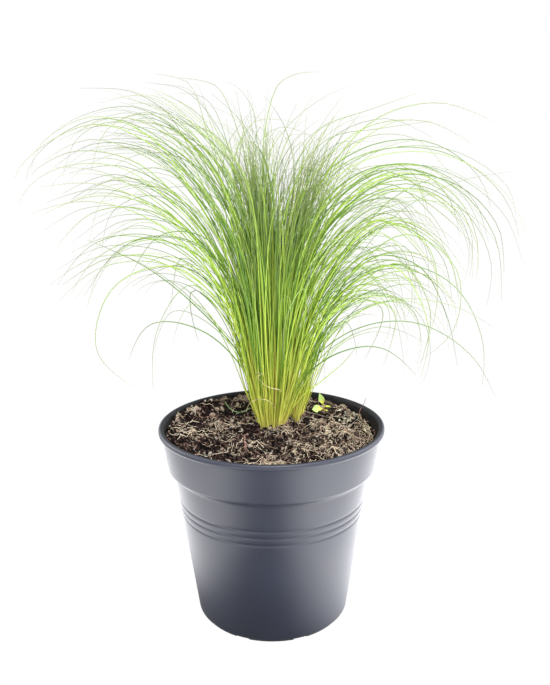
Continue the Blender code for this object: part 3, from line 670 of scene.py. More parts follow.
# Single arches that stand out of the sheaves: how many blades share one, and its line in mm from foot to tip,
# with a point about every 50 mm
ARCHES = (
    (5, ((-10, 16, 158), (-13, 16, 207), (-19, 17, 257), (-30, 19, 305), (-50, 22, 351), (-76, 26, 393),
     (-118, 30, 417), (-166, 35, 407), (-206, 41, 380))),
    (2, ((-9, 20, 158), (-11, 20, 206), (-15, 19, 254), (-22, 18, 302), (-39, 16, 347), (-66, 13, 387),
     (-104, 9, 416), (-150, 5, 409), (-175, 0, 369))),
    (5, ((-12, 18, 158), (-16, 18, 208), (-23, 17, 259), (-39, 16, 307), (-66, 15, 349), (-104, 13, 383),
     (-154, 11, 389), (-198, 8, 366))),
    (4, ((-8, 22, 158), (-9, 23, 210), (-10, 25, 263), (-17, 29, 314), (-36, 35, 363), (-69, 43, 403),
     (-112, 52, 431), (-163, 62, 432))),
    (5, ((-6, 14, 158), (-7, 14, 208), (-7, 15, 258), (-11, 16, 309), (-23, 17, 357), (-46, 19, 402),
     (-86, 21, 431), (-135, 24, 430))),
    (2, ((-5, 20, 158), (-6, 21, 208), (-7, 24, 259), (-10, 29, 309), (-23, 36, 358), (-49, 46, 400),
     (-86, 57, 432), (-130, 70, 454))),
    (2, ((-8, 24, 158), (-11, 24, 208), (-15, 25, 258), (-23, 27, 308), (-42, 29, 355), (-73, 31, 395),
     (-114, 35, 422), (-164, 39, 418))),
    (4, ((-12, 14, 158), (-18, 13, 209), (-29, 12, 259), (-53, 8, 305), (-88, 4, 342), (-134, -3, 363),
     (-184, -11, 359))),
    (2, ((-4, 18, 158), (-5, 18, 205), (-7, 17, 253), (-12, 16, 300), (-22, 15, 346), (-36, 13, 392),
     (-54, 11, 436), (-95, 8, 448))),
    (2, ((-5, 22, 158), (-5, 23, 205), (-6, 24, 252), (-8, 27, 299), (-14, 31, 345), (-26, 37, 391),
     (-46, 44, 433), (-85, 52, 443))),
    (2, ((-3, 18, 158), (-4, 19, 206), (-4, 21, 255), (-7, 26, 304), (-12, 32, 352), (-22, 41, 399),
     (-43, 51, 441), (-83, 63, 466))),
    (2, ((-1, 20, 158), (-4, 20, 209), (-10, 20, 259), (-17, 21, 310), (-21, 22, 361), (-21, 23, 411),
     (-51, 25, 447))),
    (1, ((-2, 24, 158), (-4, 24, 209), (-9, 26, 261), (-16, 29, 312), (-25, 32, 363), (-36, 38, 414),
     (-43, 44, 465))),
    (1, ((0, 20, 158), (-1, 20, 206), (-4, 21, 254), (-7, 22, 303), (-9, 24, 351), (-8, 27, 399),
     (-12, 30, 447))),
    (1, ((-2, 16, 158), (-5, 17, 205), (-11, 19, 253), (-19, 23, 299), (-24, 29, 347), (-22, 37, 394),
     (-6, 46, 437))),
    (5, ((-4, 14, 158), (-4, 14, 208), (-2, 13, 258), (-3, 11, 308), (-12, 8, 357), (-32, 4, 402),
     (-70, -1, 432))),
    (2, ((-6, 20, 158), (-6, 20, 208), (-4, 21, 259), (-3, 22, 310), (-10, 24, 360), (-34, 27, 404),
     (-75, 30, 418))),
    (5, ((-8, 12, 158), (-8, 12, 205), (-6, 13, 252), (-7, 14, 300), (-16, 17, 346), (-35, 19, 389),
     (-69, 23, 422), (-111, 27, 443))),
    (5, ((-10, 18, 158), (-10, 19, 212), (-10, 22, 267), (-15, 26, 322), (-37, 33, 371), (-76, 42, 408),
     (-124, 53, 430))),
    (5, ((-9, 12, 158), (-11, 12, 203), (-13, 11, 249), (-19, 9, 294), (-31, 6, 337), (-50, 2, 379),
     (-82, -2, 410), (-125, -8, 421))),
    (5, ((-10, 22, 158), (-12, 22, 211), (-17, 22, 264), (-28, 23, 316), (-52, 24, 364), (-88, 25, 403),
     (-139, 27, 415))),
    (2, ((-8, 26, 158), (-8, 27, 210), (-5, 31, 263), (-7, 38, 315), (-20, 49, 365), (-51, 61, 405),
     (-99, 76, 414))),
    (5, ((-10, 22, 158), (-12, 23, 210), (-16, 25, 263), (-27, 29, 314), (-52, 35, 359), (-92, 43, 392),
     (-142, 52, 396))),
    (5, ((-11, 13, 158), (-14, 12, 207), (-19, 10, 256), (-30, 6, 304), (-52, 1, 347), (-86, -7, 381),
     (-132, -17, 392))),
    (5, ((-12, 18, 158), (-16, 18, 208), (-23, 18, 258), (-39, 17, 306), (-65, 16, 349), (-103, 15, 381),
     (-152, 13, 376))),
    (5, ((-12, 15, 158), (-16, 15, 209), (-25, 17, 259), (-43, 20, 307), (-72, 24, 348), (-118, 29, 370),
     (-166, 35, 358))),
    (5, ((-12, 20, 158), (-17, 19, 213), (-29, 14, 267), (-54, 7, 316), (-93, -4, 353), (-143, -20, 344))),
    (4, ((-12, 18, 158), (-17, 19, 209), (-29, 21, 259), (-54, 26, 304), (-92, 32, 339), (-141, 39, 346),
     (-186, 48, 323))),
    (4, ((-12, 16, 158), (-16, 16, 206), (-27, 15, 254), (-50, 13, 296), (-86, 10, 328), (-133, 6, 332),
     (-173, 1, 306))),
    (2, ((-12, 20, 158), (-16, 20, 209), (-26, 21, 260), (-55, 22, 301), (-102, 25, 316), (-148, 27, 294),
     (-175, 30, 251))),
    (1, ((-11, 14, 158), (-17, 13, 211), (-33, 11, 262), (-67, 6, 303), (-117, -1, 299), (-142, -10, 255),
     (-117, -21, 213))),
    (2, ((-12, 22, 158), (-17, 23, 213), (-27, 25, 267), (-50, 28, 317), (-91, 33, 354), (-137, 40, 342),
     (-154, 47, 290))),
    (1, ((-12, 14, 158), (-23, 13, 204), (-56, 9, 239), (-101, 3, 250), (-133, -6, 220))),
    (4, ((-11, 20, 158), (-15, 19, 214), (-25, 17, 270), (-55, 13, 317), (-107, 7, 328), (-154, 0, 299))),
    (5, ((-12, 18, 158), (-18, 19, 214), (-37, 23, 267), (-74, 29, 309), (-126, 38, 324), (-178, 48, 308))),
    (2, ((-12, 14, 158), (-22, 13, 214), (-58, 12, 259), (-101, 9, 296), (-154, 4, 320))),
    (1, ((-12, 18, 158), (-18, 17, 206), (-35, 14, 252), (-69, 9, 283), (-104, 2, 251), (-118, -7, 206))),
    (1, ((-11, 20, 158), (-17, 21, 214), (-35, 24, 267), (-72, 29, 297), (-78, 35, 243))),
    (1, ((-10, 22, 158), (-15, 21, 204), (-29, 20, 248), (-55, 17, 280), (-60, 12, 235))),
    (1, ((-11, 16, 158), (-17, 14, 199), (-31, 9, 238), (-51, 0, 272), (-76, -14, 244))),
    (2, ((-11, 20, 158), (-16, 21, 205), (-32, 22, 249), (-63, 26, 283), (-110, 30, 286))),
    (2, ((-11, 16, 158), (-16, 18, 211), (-31, 22, 262), (-71, 30, 293), (-120, 41, 276))),
    (1, ((-12, 18, 158), (-22, 17, 205), (-48, 14, 246), (-87, 10, 266), (-116, 3, 230))),
    (1, ((1, 22, 158), (0, 22, 206), (-3, 24, 255), (-6, 27, 303), (-6, 30, 352), (1, 36, 400),
     (11, 42, 447))),
    (2, ((-3, 18, 158), (-7, 19, 214), (-15, 20, 270), (-24, 23, 326), (-20, 27, 382), (15, 33, 416))),
    (2, ((0, 20, 158), (-2, 20, 209), (-9, 21, 260), (-15, 22, 311), (-15, 24, 362), (0, 27, 410),
     (24, 30, 392))),
    (2, ((1, 14, 158), (-3, 14, 209), (-12, 13, 260), (-22, 12, 311), (-23, 10, 363), (1, 7, 408),
     (47, 4, 401))),
    (5, ((-2, 14, 158), (-3, 14, 207), (-6, 12, 257), (-10, 10, 307), (-12, 6, 356), (-6, 1, 404),
     (16, -6, 375))),
    (2, ((2, 18, 158), (0, 18, 213), (-6, 17, 268), (-11, 15, 323), (-8, 12, 379), (15, 8, 380))),
    (1, ((8, 20, 158), (8, 21, 213), (9, 24, 269), (10, 29, 325), (15, 36, 380), (33, 45, 431))),
    (1, ((8, 20, 158), (9, 20, 209), (11, 21, 261), (15, 23, 313), (23, 26, 364), (36, 30, 414))),
    (1, ((10, 16, 158), (11, 16, 209), (13, 17, 261), (17, 19, 313), (28, 22, 364), (47, 26, 412),
     (61, 31, 392))),
    (2, ((9, 20, 158), (10, 20, 214), (12, 21, 270), (17, 22, 326), (32, 23, 380), (58, 25, 430))),
    (5, ((11, 16, 158), (13, 17, 214), (16, 19, 271), (26, 23, 326), (45, 29, 379), (77, 36, 362))),
    (5, ((12, 20, 158), (14, 19, 213), (17, 18, 269), (27, 15, 324), (49, 11, 375), (81, 5, 349))),
    (2, ((9, 22, 158), (9, 23, 207), (8, 25, 256), (8, 30, 305), (17, 37, 353), (39, 45, 396),
     (83, 55, 413), (128, 67, 428))),
    (2, ((10, 14, 158), (11, 14, 207), (11, 13, 256), (15, 12, 305), (28, 11, 352), (54, 9, 393),
     (100, 7, 403), (139, 4, 376))),
    (2, ((11, 18, 158), (13, 18, 211), (15, 20, 264), (22, 22, 316), (44, 26, 364), (83, 31, 400),
     (134, 37, 405), (181, 43, 381))),
    (1, ((9, 20, 158), (11, 21, 208), (14, 24, 258), (20, 30, 308), (34, 38, 355), (58, 49, 398),
     (92, 61, 432), (138, 75, 448))),
    (4, ((11, 16, 158), (12, 16, 209), (13, 17, 260), (18, 18, 311), (41, 20, 356), (84, 22, 381),
     (135, 25, 380), (177, 28, 352), (201, 31, 307))),
    (5, ((12, 20, 158), (14, 21, 206), (17, 22, 255), (26, 25, 303), (51, 30, 344), (91, 36, 370),
     (139, 42, 369), (178, 50, 342))),
    (5, ((12, 12, 158), (15, 12, 207), (18, 11, 256), (28, 10, 304), (54, 8, 345), (96, 6, 370),
     (143, 4, 360), (177, 1, 326), (188, -3, 278))),
    (5, ((12, 18, 158), (15, 18, 204), (18, 18, 250), (26, 18, 296), (49, 18, 336), (87, 18, 363),
     (132, 18, 364), (168, 18, 336), (180, 18, 293))),
    (5, ((12, 22, 158), (16, 22, 211), (23, 24, 264), (40, 26, 314), (77, 29, 352), (128, 32, 362),
     (172, 37, 334), (191, 42, 286))),
    (4, ((11, 14, 158), (14, 13, 204), (20, 12, 251), (31, 9, 297), (54, 5, 337), (88, -1, 367),
     (130, -8, 352), (166, -16, 324))),
    (2, ((11, 22, 158), (15, 22, 212), (22, 23, 266), (39, 24, 318), (74, 26, 360), (123, 29, 372),
     (155, 32, 329))),
    (2, ((12, 18, 158), (22, 19, 210), (45, 23, 258), (78, 30, 299), (117, 39, 334), (166, 50, 350),
     (218, 63, 346))),
    (4, ((12, 14, 158), (17, 13, 213), (26, 8, 267), (49, 1, 317), (90, -11, 351), (124, -26, 318))),
    (4, ((12, 20, 158), (16, 20, 208), (23, 21, 257), (39, 21, 305), (72, 22, 342), (118, 23, 352),
     (148, 25, 314))),
    (4, ((12, 16, 158), (19, 16, 208), (33, 16, 256), (59, 16, 299), (98, 16, 330), (141, 16, 307),
     (156, 16, 261))),
    (1, ((12, 12, 158), (19, 12, 207), (33, 10, 255), (59, 8, 297), (97, 4, 328), (138, 0, 307),
     (144, -6, 261), (114, -13, 222))),
    (2, ((12, 22, 158), (18, 23, 208), (29, 24, 257), (54, 27, 300), (94, 31, 330), (135, 36, 308),
     (147, 42, 260))),
    (2, ((12, 18, 158), (19, 17, 210), (33, 16, 261), (58, 13, 308), (97, 9, 327), (119, 3, 280))),
    (2, ((12, 14, 158), (18, 14, 206), (31, 15, 253), (53, 16, 296), (87, 18, 329), (123, 21, 299),
     (142, 24, 255))),
    (2, ((12, 20, 158), (23, 20, 215), (50, 20, 266), (93, 20, 302), (122, 20, 256))),
    (2, ((12, 18, 158), (20, 17, 205), (38, 14, 250), (66, 8, 290), (105, -1, 304), (122, -12, 261))),
    (2, ((12, 14, 158), (20, 16, 216), (45, 20, 270), (94, 28, 297), (150, 39, 280))),
    (2, ((12, 20, 158), (21, 20, 218), (47, 21, 273), (94, 23, 308), (153, 25, 293))),
    (2, ((12, 16, 158), (20, 15, 209), (41, 13, 257), (75, 9, 295), (107, 3, 259), (116, -4, 209))),
    (2, ((12, 20, 158), (24, 20, 213), (53, 20, 261), (95, 20, 258), (87, 20, 204))),
    (2, ((12, 14, 158), (18, 15, 206), (34, 19, 251), (71, 25, 280), (118, 34, 276))),
    (1, ((12, 18, 158), (19, 17, 201), (35, 12, 241), (58, 5, 278), (78, -7, 258))),
    (2, ((11, 22, 158), (21, 24, 200), (45, 30, 236), (80, 39, 259), (122, 52, 262))),
    (2, ((12, 16, 158), (28, 16, 207), (64, 18, 244), (112, 20, 261), (162, 23, 249), (203, 26, 216))),
    (2, ((12, 12, 158), (24, 11, 199), (52, 7, 232), (90, 1, 250), (131, -8, 240))),
    (1, ((11, 20, 158), (18, 21, 196), (35, 24, 230), (61, 29, 244), (72, 35, 207))),
    (2, ((12, 22, 158), (25, 23, 215), (57, 24, 264), (104, 28, 293), (137, 32, 249), (131, 37, 191))),
    (1, ((12, 14, 158), (22, 14, 208), (46, 13, 254), (79, 12, 294), (124, 10, 283), (147, 7, 237),
     (154, 4, 186))),
    (1, ((12, 18, 158), (18, 18, 208), (31, 20, 257), (57, 22, 300), (99, 25, 327), (142, 29, 308),
     (161, 33, 262), (160, 38, 211))),
    (1, ((12, 20, 158), (22, 21, 212), (45, 25, 262), (86, 31, 298), (138, 39, 295), (177, 49, 258),
     (198, 60, 208))),
    (1, ((12, 16, 158), (18, 15, 208), (29, 13, 257), (52, 8, 301), (90, 1, 333), (134, -8, 319),
     (161, -19, 278))),
    (1, ((11, 22, 158), (23, 24, 179), (44, 28, 194), (64, 36, 208), (81, 47, 224))),
    (1, ((12, 18, 158), (19, 19, 184), (34, 20, 207), (54, 24, 226), (78, 28, 240))),
)

# Two bunches in the middle that stand upright: how many blades follow each line, and the lines in mm
BLADES_PER_LINE = 20
BUNCHES = (
    ((-3, 16, 158), (-5, 16, 208), (-9, 17, 258), (-14, 18, 309), (-18, 19, 359), (-22, 21, 409)),
    ((-1, 20, 158), (-2, 20, 207), (-5, 19, 256), (-10, 18, 306), (-12, 17, 355), (-14, 15, 404)),
    ((1, 20, 158), (0, 20, 207), (-3, 21, 256), (-6, 23, 305), (-8, 26, 354), (-6, 30, 403)),
    ((3, 22, 158), (2, 22, 209), (-2, 23, 260), (-5, 24, 311), (-4, 25, 363), (1, 27, 414)),
    ((5, 14, 158), (6, 14, 206), (9, 14, 255), (14, 14, 304), (21, 14, 352), (19, 14, 400)),
    ((7, 18, 158), (10, 18, 217), (16, 19, 276), (24, 21, 335), (30, 23, 394)),
    ((9, 12, 158), (10, 12, 206), (13, 11, 255), (19, 9, 303), (28, 6, 351), (36, 2, 399)),
    ((10, 16, 158), (12, 16, 208), (15, 16, 258), (22, 16, 307), (32, 16, 356), (44, 16, 405)),
    ((11, 12, 158), (13, 11, 207), (16, 8, 256), (23, 4, 304), (33, -3, 352), (49, -13, 394)),
    ((10, 22, 158), (13, 23, 208), (19, 24, 258), (28, 27, 308), (40, 31, 357), (52, 37, 406)),
)


def sheaf_line(name):
    """Middle points of a sheaf's solid, from its foot to its tip."""
    working = bmesh.new()
    working.from_mesh(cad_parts[name].data)
    bmesh.ops.remove_doubles(working, verts=working.verts, dist=0.000001)
    working.verts.index_update()
    ring = sorted(working.verts, key=lambda v: v.co.z)[:SHEAF_SIDES]
    passed, line = set(), []
    while ring:
        passed.update(ring)
        line.append(sum((v.co for v in ring), Vector()) / len(ring))
        ring = {edge.other_vert(v) for v in ring for edge in v.link_edges} - passed
        ring = sorted(ring, key=lambda v: v.index)
    working.free()
    return line


def guide_object(name, lines):
    """Lines, given as (blades, points), as one object of edges that carries how many blades follow each."""
    points, edges, counts = [], [], []
    for blades, line in lines:
        edges += [(len(points) + i, len(points) + i + 1) for i in range(len(line) - 1)]
        points += line
        counts += [blades] * len(line)
    mesh = bpy.data.meshes.new(name)
    mesh.from_pydata(points, edges, [])
    mesh.attributes.new("blades", "INT", "POINT").data.foreach_set("value", counts)
    return add_object(name, mesh)


tree, given = new_geometry_tree(
    "blades_along_sheaves",
    {
        "Points per blade": 30,
        "Least reach": 0.84,
        "Least size": 0.78,
        "Most size": 1.04,
        "Foot spread": 0.0026,
        "Gathered foot": 0.32,
        "Fan": 0.22,
        "Lean": 0.06,
        "Least droop": -0.30,
        "Most droop": 0.9,
        "Droop lateness": 1.8,
        "Droop to the right": 0.35,
        "Curl": 0.30,
        "Wave": 0.30,
        "Half width": 0.00072,
        "Tip width share": 0.14,
        "Free reach": (0.186, 0.116, 0.438),
        "Bent reach": (0.022, 0.028, 0.022),
        "Seed": 1,
    },
)
guides = add_node(tree, "GeometryNodeMeshToCurve", (given["Geometry"],))
guides = add_node(tree, "GeometryNodeCurveSplineType", (guides,), spline_type="CATMULL_ROM")
index = add_node(tree, "GeometryNodeInputIndex")
numbered = {"Geometry": guides, "Name": "sheaf", "Value": index}
guides = add_node(tree, "GeometryNodeStoreNamedAttribute", numbered, data_type="INT", domain="CURVE")
blades_each = add_node(tree, "GeometryNodeInputNamedAttribute", {"Name": "blades"}, data_type="INT")
even = add_node(tree, "GeometryNodeResampleCurve", {"Curve": guides, "Count": given["Points per blade"]})
blades = add_node(
    tree, "GeometryNodeDuplicateElements", {"Geometry": even, "Amount": blades_each}, domain="SPLINE"
)
sheaf = add_node(tree, "GeometryNodeInputNamedAttribute", {"Name": "sheaf"}, data_type="INT")
along = add_node(tree, "GeometryNodeSplineParameter", output="Factor")
blade_number = add_node(tree, "GeometryNodeFieldOnDomain", (index,), data_type="INT", domain="CURVE")


def of_blade(low, high, seed):
    """A number drawn once for each blade, by the tree's seed."""
    own_seed = add_node(tree, "ShaderNodeMath", (given["Seed"], float(seed)), operation="ADD")
    return of_each(tree, low, high, own_seed)


def mostly_little(size, seed):
    """An angle drawn for each blade, to either side, and for a few of them much more than the size."""
    angle = of_blade(-SPREAD_ANGLE, SPREAD_ANGLE, seed)
    return chain(tree, "ShaderNodeMath", angle, ("TANGENT",), ("MULTIPLY", given[size]))


# The guide gives the direction at each step of a blade, and the blade's own droop and curl turn it
reach = of_blade(given["Least reach"], 1.0, 1)
share = add_node(tree, "ShaderNodeMath", (along, reach), operation="MULTIPLY")
on_guide = {"Curves": guides, "Curve Index": sheaf}
foot, tip, direction = [
    add_node(tree, "GeometryNodeSampleCurve", {**on_guide, "Factor": place}, measure)
    for place, measure in ((0.0, "Position"), (1.0, "Position"), (share, "Tangent"))
]
level = ("MULTIPLY", (1.0, 1.0, 0.0))
outward = chain(tree, "ShaderNodeVectorMath", tip, ("SUBTRACT", foot), level, ("NORMALIZE",))
sideways = add_node(tree, "ShaderNodeVectorMath", ((0.0, 0.0, 1.0), outward), operation="CROSS_PRODUCT")
rightward = add_node(tree, "ShaderNodeSeparateXYZ", (outward,), "X")
own_droop, own_lean = of_blade(given["Least droop"], given["Most droop"], 3), mostly_little("Lean", 4)
lateness = chain(tree, "ShaderNodeMath", of_blade(0.6, 1.6, 7), ("MULTIPLY", given["Droop lateness"]))
droop = chain(
    tree,
    "ShaderNodeMath",
    rightward,
    ("MULTIPLY_ADD", given["Droop to the right"], own_droop),
    ("MULTIPLY_ADD", chain(tree, "ShaderNodeMath", along, ("POWER", lateness)), own_lean),
)
own_curl, own_fan = mostly_little("Curl", 5), mostly_little("Fan", 6)
curl = chain(tree, "ShaderNodeMath", own_curl, ("MULTIPLY_ADD", along, own_fan))
for axis, angle in ((sideways, droop), ((0.0, 0.0, 1.0), curl)):
    turned = {"Vector": direction, "Axis": axis, "Angle": angle}
    direction = add_node(tree, "ShaderNodeVectorRotate", turned)
slowly = chain(tree, "ShaderNodeMath", along, ("MULTIPLY", WAVES_PER_BLADE))
where = add_node(tree, "ShaderNodeCombineXYZ", {"X": of_blade(0.0, 900.0, 8), "Y": slowly})
wave = add_node(tree, "ShaderNodeTexNoise", {"Vector": where, "Scale": 1.0, "Detail": 1.0}, "Color")
waving = chain(tree, "ShaderNodeMath", along, ("POWER", 0.5), ("MULTIPLY", given["Wave"]))
swerve = ("SCALE", waving), ("ADD", direction), ("NORMALIZE",)
direction = chain(tree, "ShaderNodeVectorMath", wave, centred, *swerve)

# The steps add up from the foot, whose place is drawn inside the foot of the sheaf
guide_length = add_node(tree, "GeometryNodeSplineLength", output="Length")
own_size = of_blade(given["Least size"], given["Most size"], 2)
steps = chain(tree, "ShaderNodeMath", given["Points per blade"], ("SUBTRACT", 1.0))
shares = ("MULTIPLY", reach), ("MULTIPLY", own_size), ("DIVIDE", steps)
step_length = chain(tree, "ShaderNodeMath", guide_length, *shares)
step = chain(tree, "ShaderNodeVectorMath", direction, ("SCALE", step_length))
own_steps = {"Value": step, "Group ID": blade_number}
grown = add_node(tree, "GeometryNodeAccumulateField", own_steps, "Trailing", data_type="FLOAT_VECTOR")
spread = ("POWER", 0.5), ("MULTIPLY", given["Foot spread"])
from_middle = chain(tree, "ShaderNodeMath", of_blade(0.0, 1.0, 10), *spread)
around = level_direction(tree, of_blade(0.0, math.tau, 9))
own_foot = chain(tree, "ShaderNodeVectorMath", around, ("SCALE", from_middle), ("ADD", foot))
placed = chain(tree, "ShaderNodeVectorMath", own_foot, ("ADD", grown))

# In the crown the blades stand closer together than a little way above it
near_foot = (along, 0.0, GATHERED_UP_TO, given["Gathered foot"], 0.0)
gathered = add_node(tree, "ShaderNodeMapRange", near_foot, interpolation_type="SMOOTHSTEP")
to_crown = ("SUBTRACT", own_foot), level, ("SCALE", gathered)
inward = chain(tree, "ShaderNodeVectorMath", (*CROWN * MM, 0.0), *to_crown)
placed = chain(tree, "ShaderNodeVectorMath", placed, ("ADD", inward))

# Past the free reach a blade gives way to its own weight, so its tip never passes the bent reach as well
far, side = [chain(tree, "ShaderNodeVectorMath", placed, (part,)) for part in ("ABSOLUTE", "SIGN")]
free = chain(tree, "ShaderNodeVectorMath", far, ("MINIMUM", given["Free reach"]))
past = chain(tree, "ShaderNodeVectorMath", far, ("SUBTRACT", free))
room = chain(tree, "ShaderNodeVectorMath", past, ("ADD", given["Bent reach"]))
bend = ("MULTIPLY", given["Bent reach"]), ("DIVIDE", room), ("ADD", free), ("MULTIPLY", side)
placed = chain(tree, "ShaderNodeVectorMath", past, *bend)
blades = add_node(tree, "GeometryNodeSetPosition", {"Geometry": blades, "Position": placed})
own_tone, own_kind = of_blade(0.0, 1.0, 11), of_blade(0.0, 1.0, 12)
for attribute, value in (("along", along), ("tone", own_tone), ("kind", own_kind)):
    stored = {"Geometry": blades, "Name": attribute, "Value": value}
    blades = add_node(tree, "GeometryNodeStoreNamedAttribute", stored)
lost = chain(tree, "ShaderNodeMath", 1.0, ("SUBTRACT", given["Tip width share"]))
thinning = chain(tree, "ShaderNodeMath", along, ("POWER", TAPER_POWER), ("MULTIPLY", lost))
taper = chain(tree, "ShaderNodeMath", 1.0, ("SUBTRACT", thinning))
own_width = of_blade(0.6, 1.25, 13)
width = chain(tree, "ShaderNodeMath", given["Half width"], ("MULTIPLY", own_width), ("MULTIPLY", taper))
rolled_section = add_node(tree, "GeometryNodeCurvePrimitiveCircle", {"Resolution": 3, "Radius": 1.0})
skin = {"Profile Curve": rolled_section, "Scale": width, "Fill Caps": True}
blades = add_node(tree, "GeometryNodeCurveToMesh", {"Curve": blades, **skin})
end_tree(tree, add_node(tree, "GeometryNodeSetShadeSmooth", (blades,)), given)
blade_tree = tree

# Living grass blade: rolled, smooth and slightly waxy, so it takes a narrow soft shine along its length.
# It is straw yellow in its sheath at the foot, fresh green above, and dries grey green towards its tip.
grass_blade, tree, shader = new_material("feather_grass_blade", Roughness=0.52, Specular_IOR_Level=0.18)
along = add_node(tree, "ShaderNodeAttribute", output="Fac", attribute_name="along")
tone = add_node(tree, "ShaderNodeAttribute", output="Fac", attribute_name="tone")
kind = add_node(tree, "ShaderNodeAttribute", output="Fac", attribute_name="kind")
# Besides the blade's own colours, the stops carry painted light and shade: paler near the foot, where the
# clump shades it, and darker towards the tip, where the light is stronger.
light_stops = ((0.0, "#F2F088"), (0.08, "#F8F878"), (0.25, "#DCEA64"), (0.45, "#BEDC58"))
light_stops += ((0.6, "#ACCC58"), (0.75, "#9CB858"), (0.9, "#909E62"), (1.0, "#ACB28C"))
dark_stops = ((0.0, "#D0C05E"), (0.10, "#ACBA4A"), (0.30, "#648A28"), (0.5, "#5E8630"))
dark_stops += ((0.65, "#64883A"), (0.8, "#6A8448"), (0.92, "#727E5A"), (1.0, "#8E967A"))
rosy_stops = ((0.0, "#B87850"), (0.08, "#CCA05C"), (0.16, "#BCA84C"))
rosy_stops += ((0.30, "#94A03A"), (0.6, "#7C9438"), (1.0, "#7E8C50"))
dead_stops = ((0.0, "#C8843C"), (0.15, "#DCA456"), (0.40, "#DCB878"), (1.0, "#C4B48C"))
light, dark, rosy, dead = [
    add_node(tree, "ShaderNodeValToRGB", (along,), stops=stops)
    for stops in (light_stops, dark_stops, rosy_stops, dead_stops)
]
tone = add_node(tree, "ShaderNodeMapRange", (tone, 0.15, 0.9), interpolation_type="SMOOTHSTEP")
living = add_node(tree, "ShaderNodeMix", (tone, dark, light), data_type="RGBA")
rosy_foot = add_node(tree, "ShaderNodeMath", (kind, ROSY_SHARE), operation="LESS_THAN")
living = add_node(tree, "ShaderNodeMix", (rosy_foot, living, rosy), data_type="RGBA")
dried = add_node(tree, "ShaderNodeMath", (kind, 1 - DEAD_SHARE), operation="GREATER_THAN")
colour = add_node(tree, "ShaderNodeMix", (dried, living, dead), data_type="RGBA")
tree.links.new(colour, shader.inputs["Base Color"])

for name, numbers, count, sizes in SHEAVES:
    nodes = [f"grass_sheaf_{number:02d}" for number in numbers]
    guide = guide_object(name + "_guides", [(count, sheaf_line(node)) for node in nodes])
    blades = grow(blade_tree, guide, name, grass_blade, Seed=100 + numbers[0], **sizes)
    bpy.data.objects.remove(guide)
    dress(blades, "grass", *nodes)

# Blades that stand out of the sheaves follow their own lines closely
CLOSE = {"Lean": 0.03, "Foot_spread": 0.004, "Droop_to_the_right": 0.0, "Wave": 0.26}
ARCH = {"Points_per_blade": 36, "Half_width": 0.00053, "Tip_width_share": 0.2, "Fan": 0.10, "Curl": 0.3}
ARCH |= {"Least_reach": 0.96, "Least_size": 0.98, "Most_size": 1.03, "Least_droop": -0.22, "Most_droop": 0.46}
BUNCH = {"Points_per_blade": 26, "Half_width": 0.00052, "Tip_width_share": 0.22, "Fan": 0.06, "Curl": 0.08}
BUNCH |= {"Least_reach": 0.86, "Least_size": 0.98, "Most_size": 1.06, "Least_droop": -0.15, "Most_droop": 0.4}
BUNCH |= {"Droop_lateness": 5.0}
for name, stems, seed, sizes in (
    ("grass_single_arches", ARCHES, 301, ARCH),
    ("grass_upright_bunches", [(BLADES_PER_LINE, line) for line in BUNCHES], 302, BUNCH),
):
    guide = guide_object(name + "_guides", [(n, [Vector(p) * MM for p in line]) for n, line in stems])
    blades = grow(blade_tree, guide, name, grass_blade, Seed=seed, **CLOSE, **sizes)
    bpy.data.objects.remove(guide)
    dress(blades, "grass")


# Seedling: a weed that has come up beside the crown, its two true leaves above two narrow seed leaves.
# The stalk is reddish, and each leaf is thin, folded a little along its midrib and grown on a short stem.
SEEDLING_FOOT = (47.3, 50.5)
SEEDLING_RISE = 0.6
STALK_HEIGHT = 6.6
STALK_RADIUS = 0.5
LEAF_THICKNESS = 0.35
LEAF_LEAST_HALF_WIDTH = 0.25
LEAF_FOLD_POWER = 1.3
LEAF_ROWS = 16
LEAF_COLUMNS = 8
LEAF_STEM = 1.3
LEAF_SHARP_FROM = math.radians(60)

# Heights in m between which the stalk's colour changes
STALK_RIPENING = (0.158, 0.165)

# Each leaf: its height on the stalk, direction, face, length, width, widest place, fold and bend, in mm
TRUE_LEAVES = {
    "seedling_leaf_1": (6.8, (-0.33, 0.02, 0.94), (0.0, -1.0, 0.1), 10.4, 5.2, 0.40, 0.20, 0.10),
    "seedling_leaf_2": (3.6, (-0.95, -0.25, 0.06), (0.15, -0.75, 0.65), 9.4, 7.6, 0.55, 0.22, 0.12),
}
SEED_LEAVES = {
    "seedling_cotyledon_1": (5.8, (0.98, -0.10, 0.02), (0.0, -0.5, 0.85), 5.2, 2.0, 0.55, 0.15, 0.10),
    "seedling_cotyledon_2": (2.6, (0.86, -0.30, -0.20), (0.2, -0.6, 0.75), 5.4, 2.4, 0.55, 0.15, 0.25),
}


def strand(name, lines, radius, material):
    """Round strands through lines of points in mm, as one plain mesh."""
    data = bpy.data.curves.new(name, "CURVE")
    data.dimensions = "3D"
    data.bevel_depth = radius * MM
    data.bevel_resolution = 1
    data.use_fill_caps = True
    for line in lines:
        spline = data.splines.new("NURBS")
        spline.points.add(len(line) - 1)
        for point, place in zip(spline.points, line):
            point.co = (*(Vector(place) * MM), 1.0)
        spline.order_u = 3
        spline.use_endpoint_u = True
        spline.resolution_u = 6
    data.materials.append(material)
    return as_plain_mesh(add_object(name + "_line", data), name)


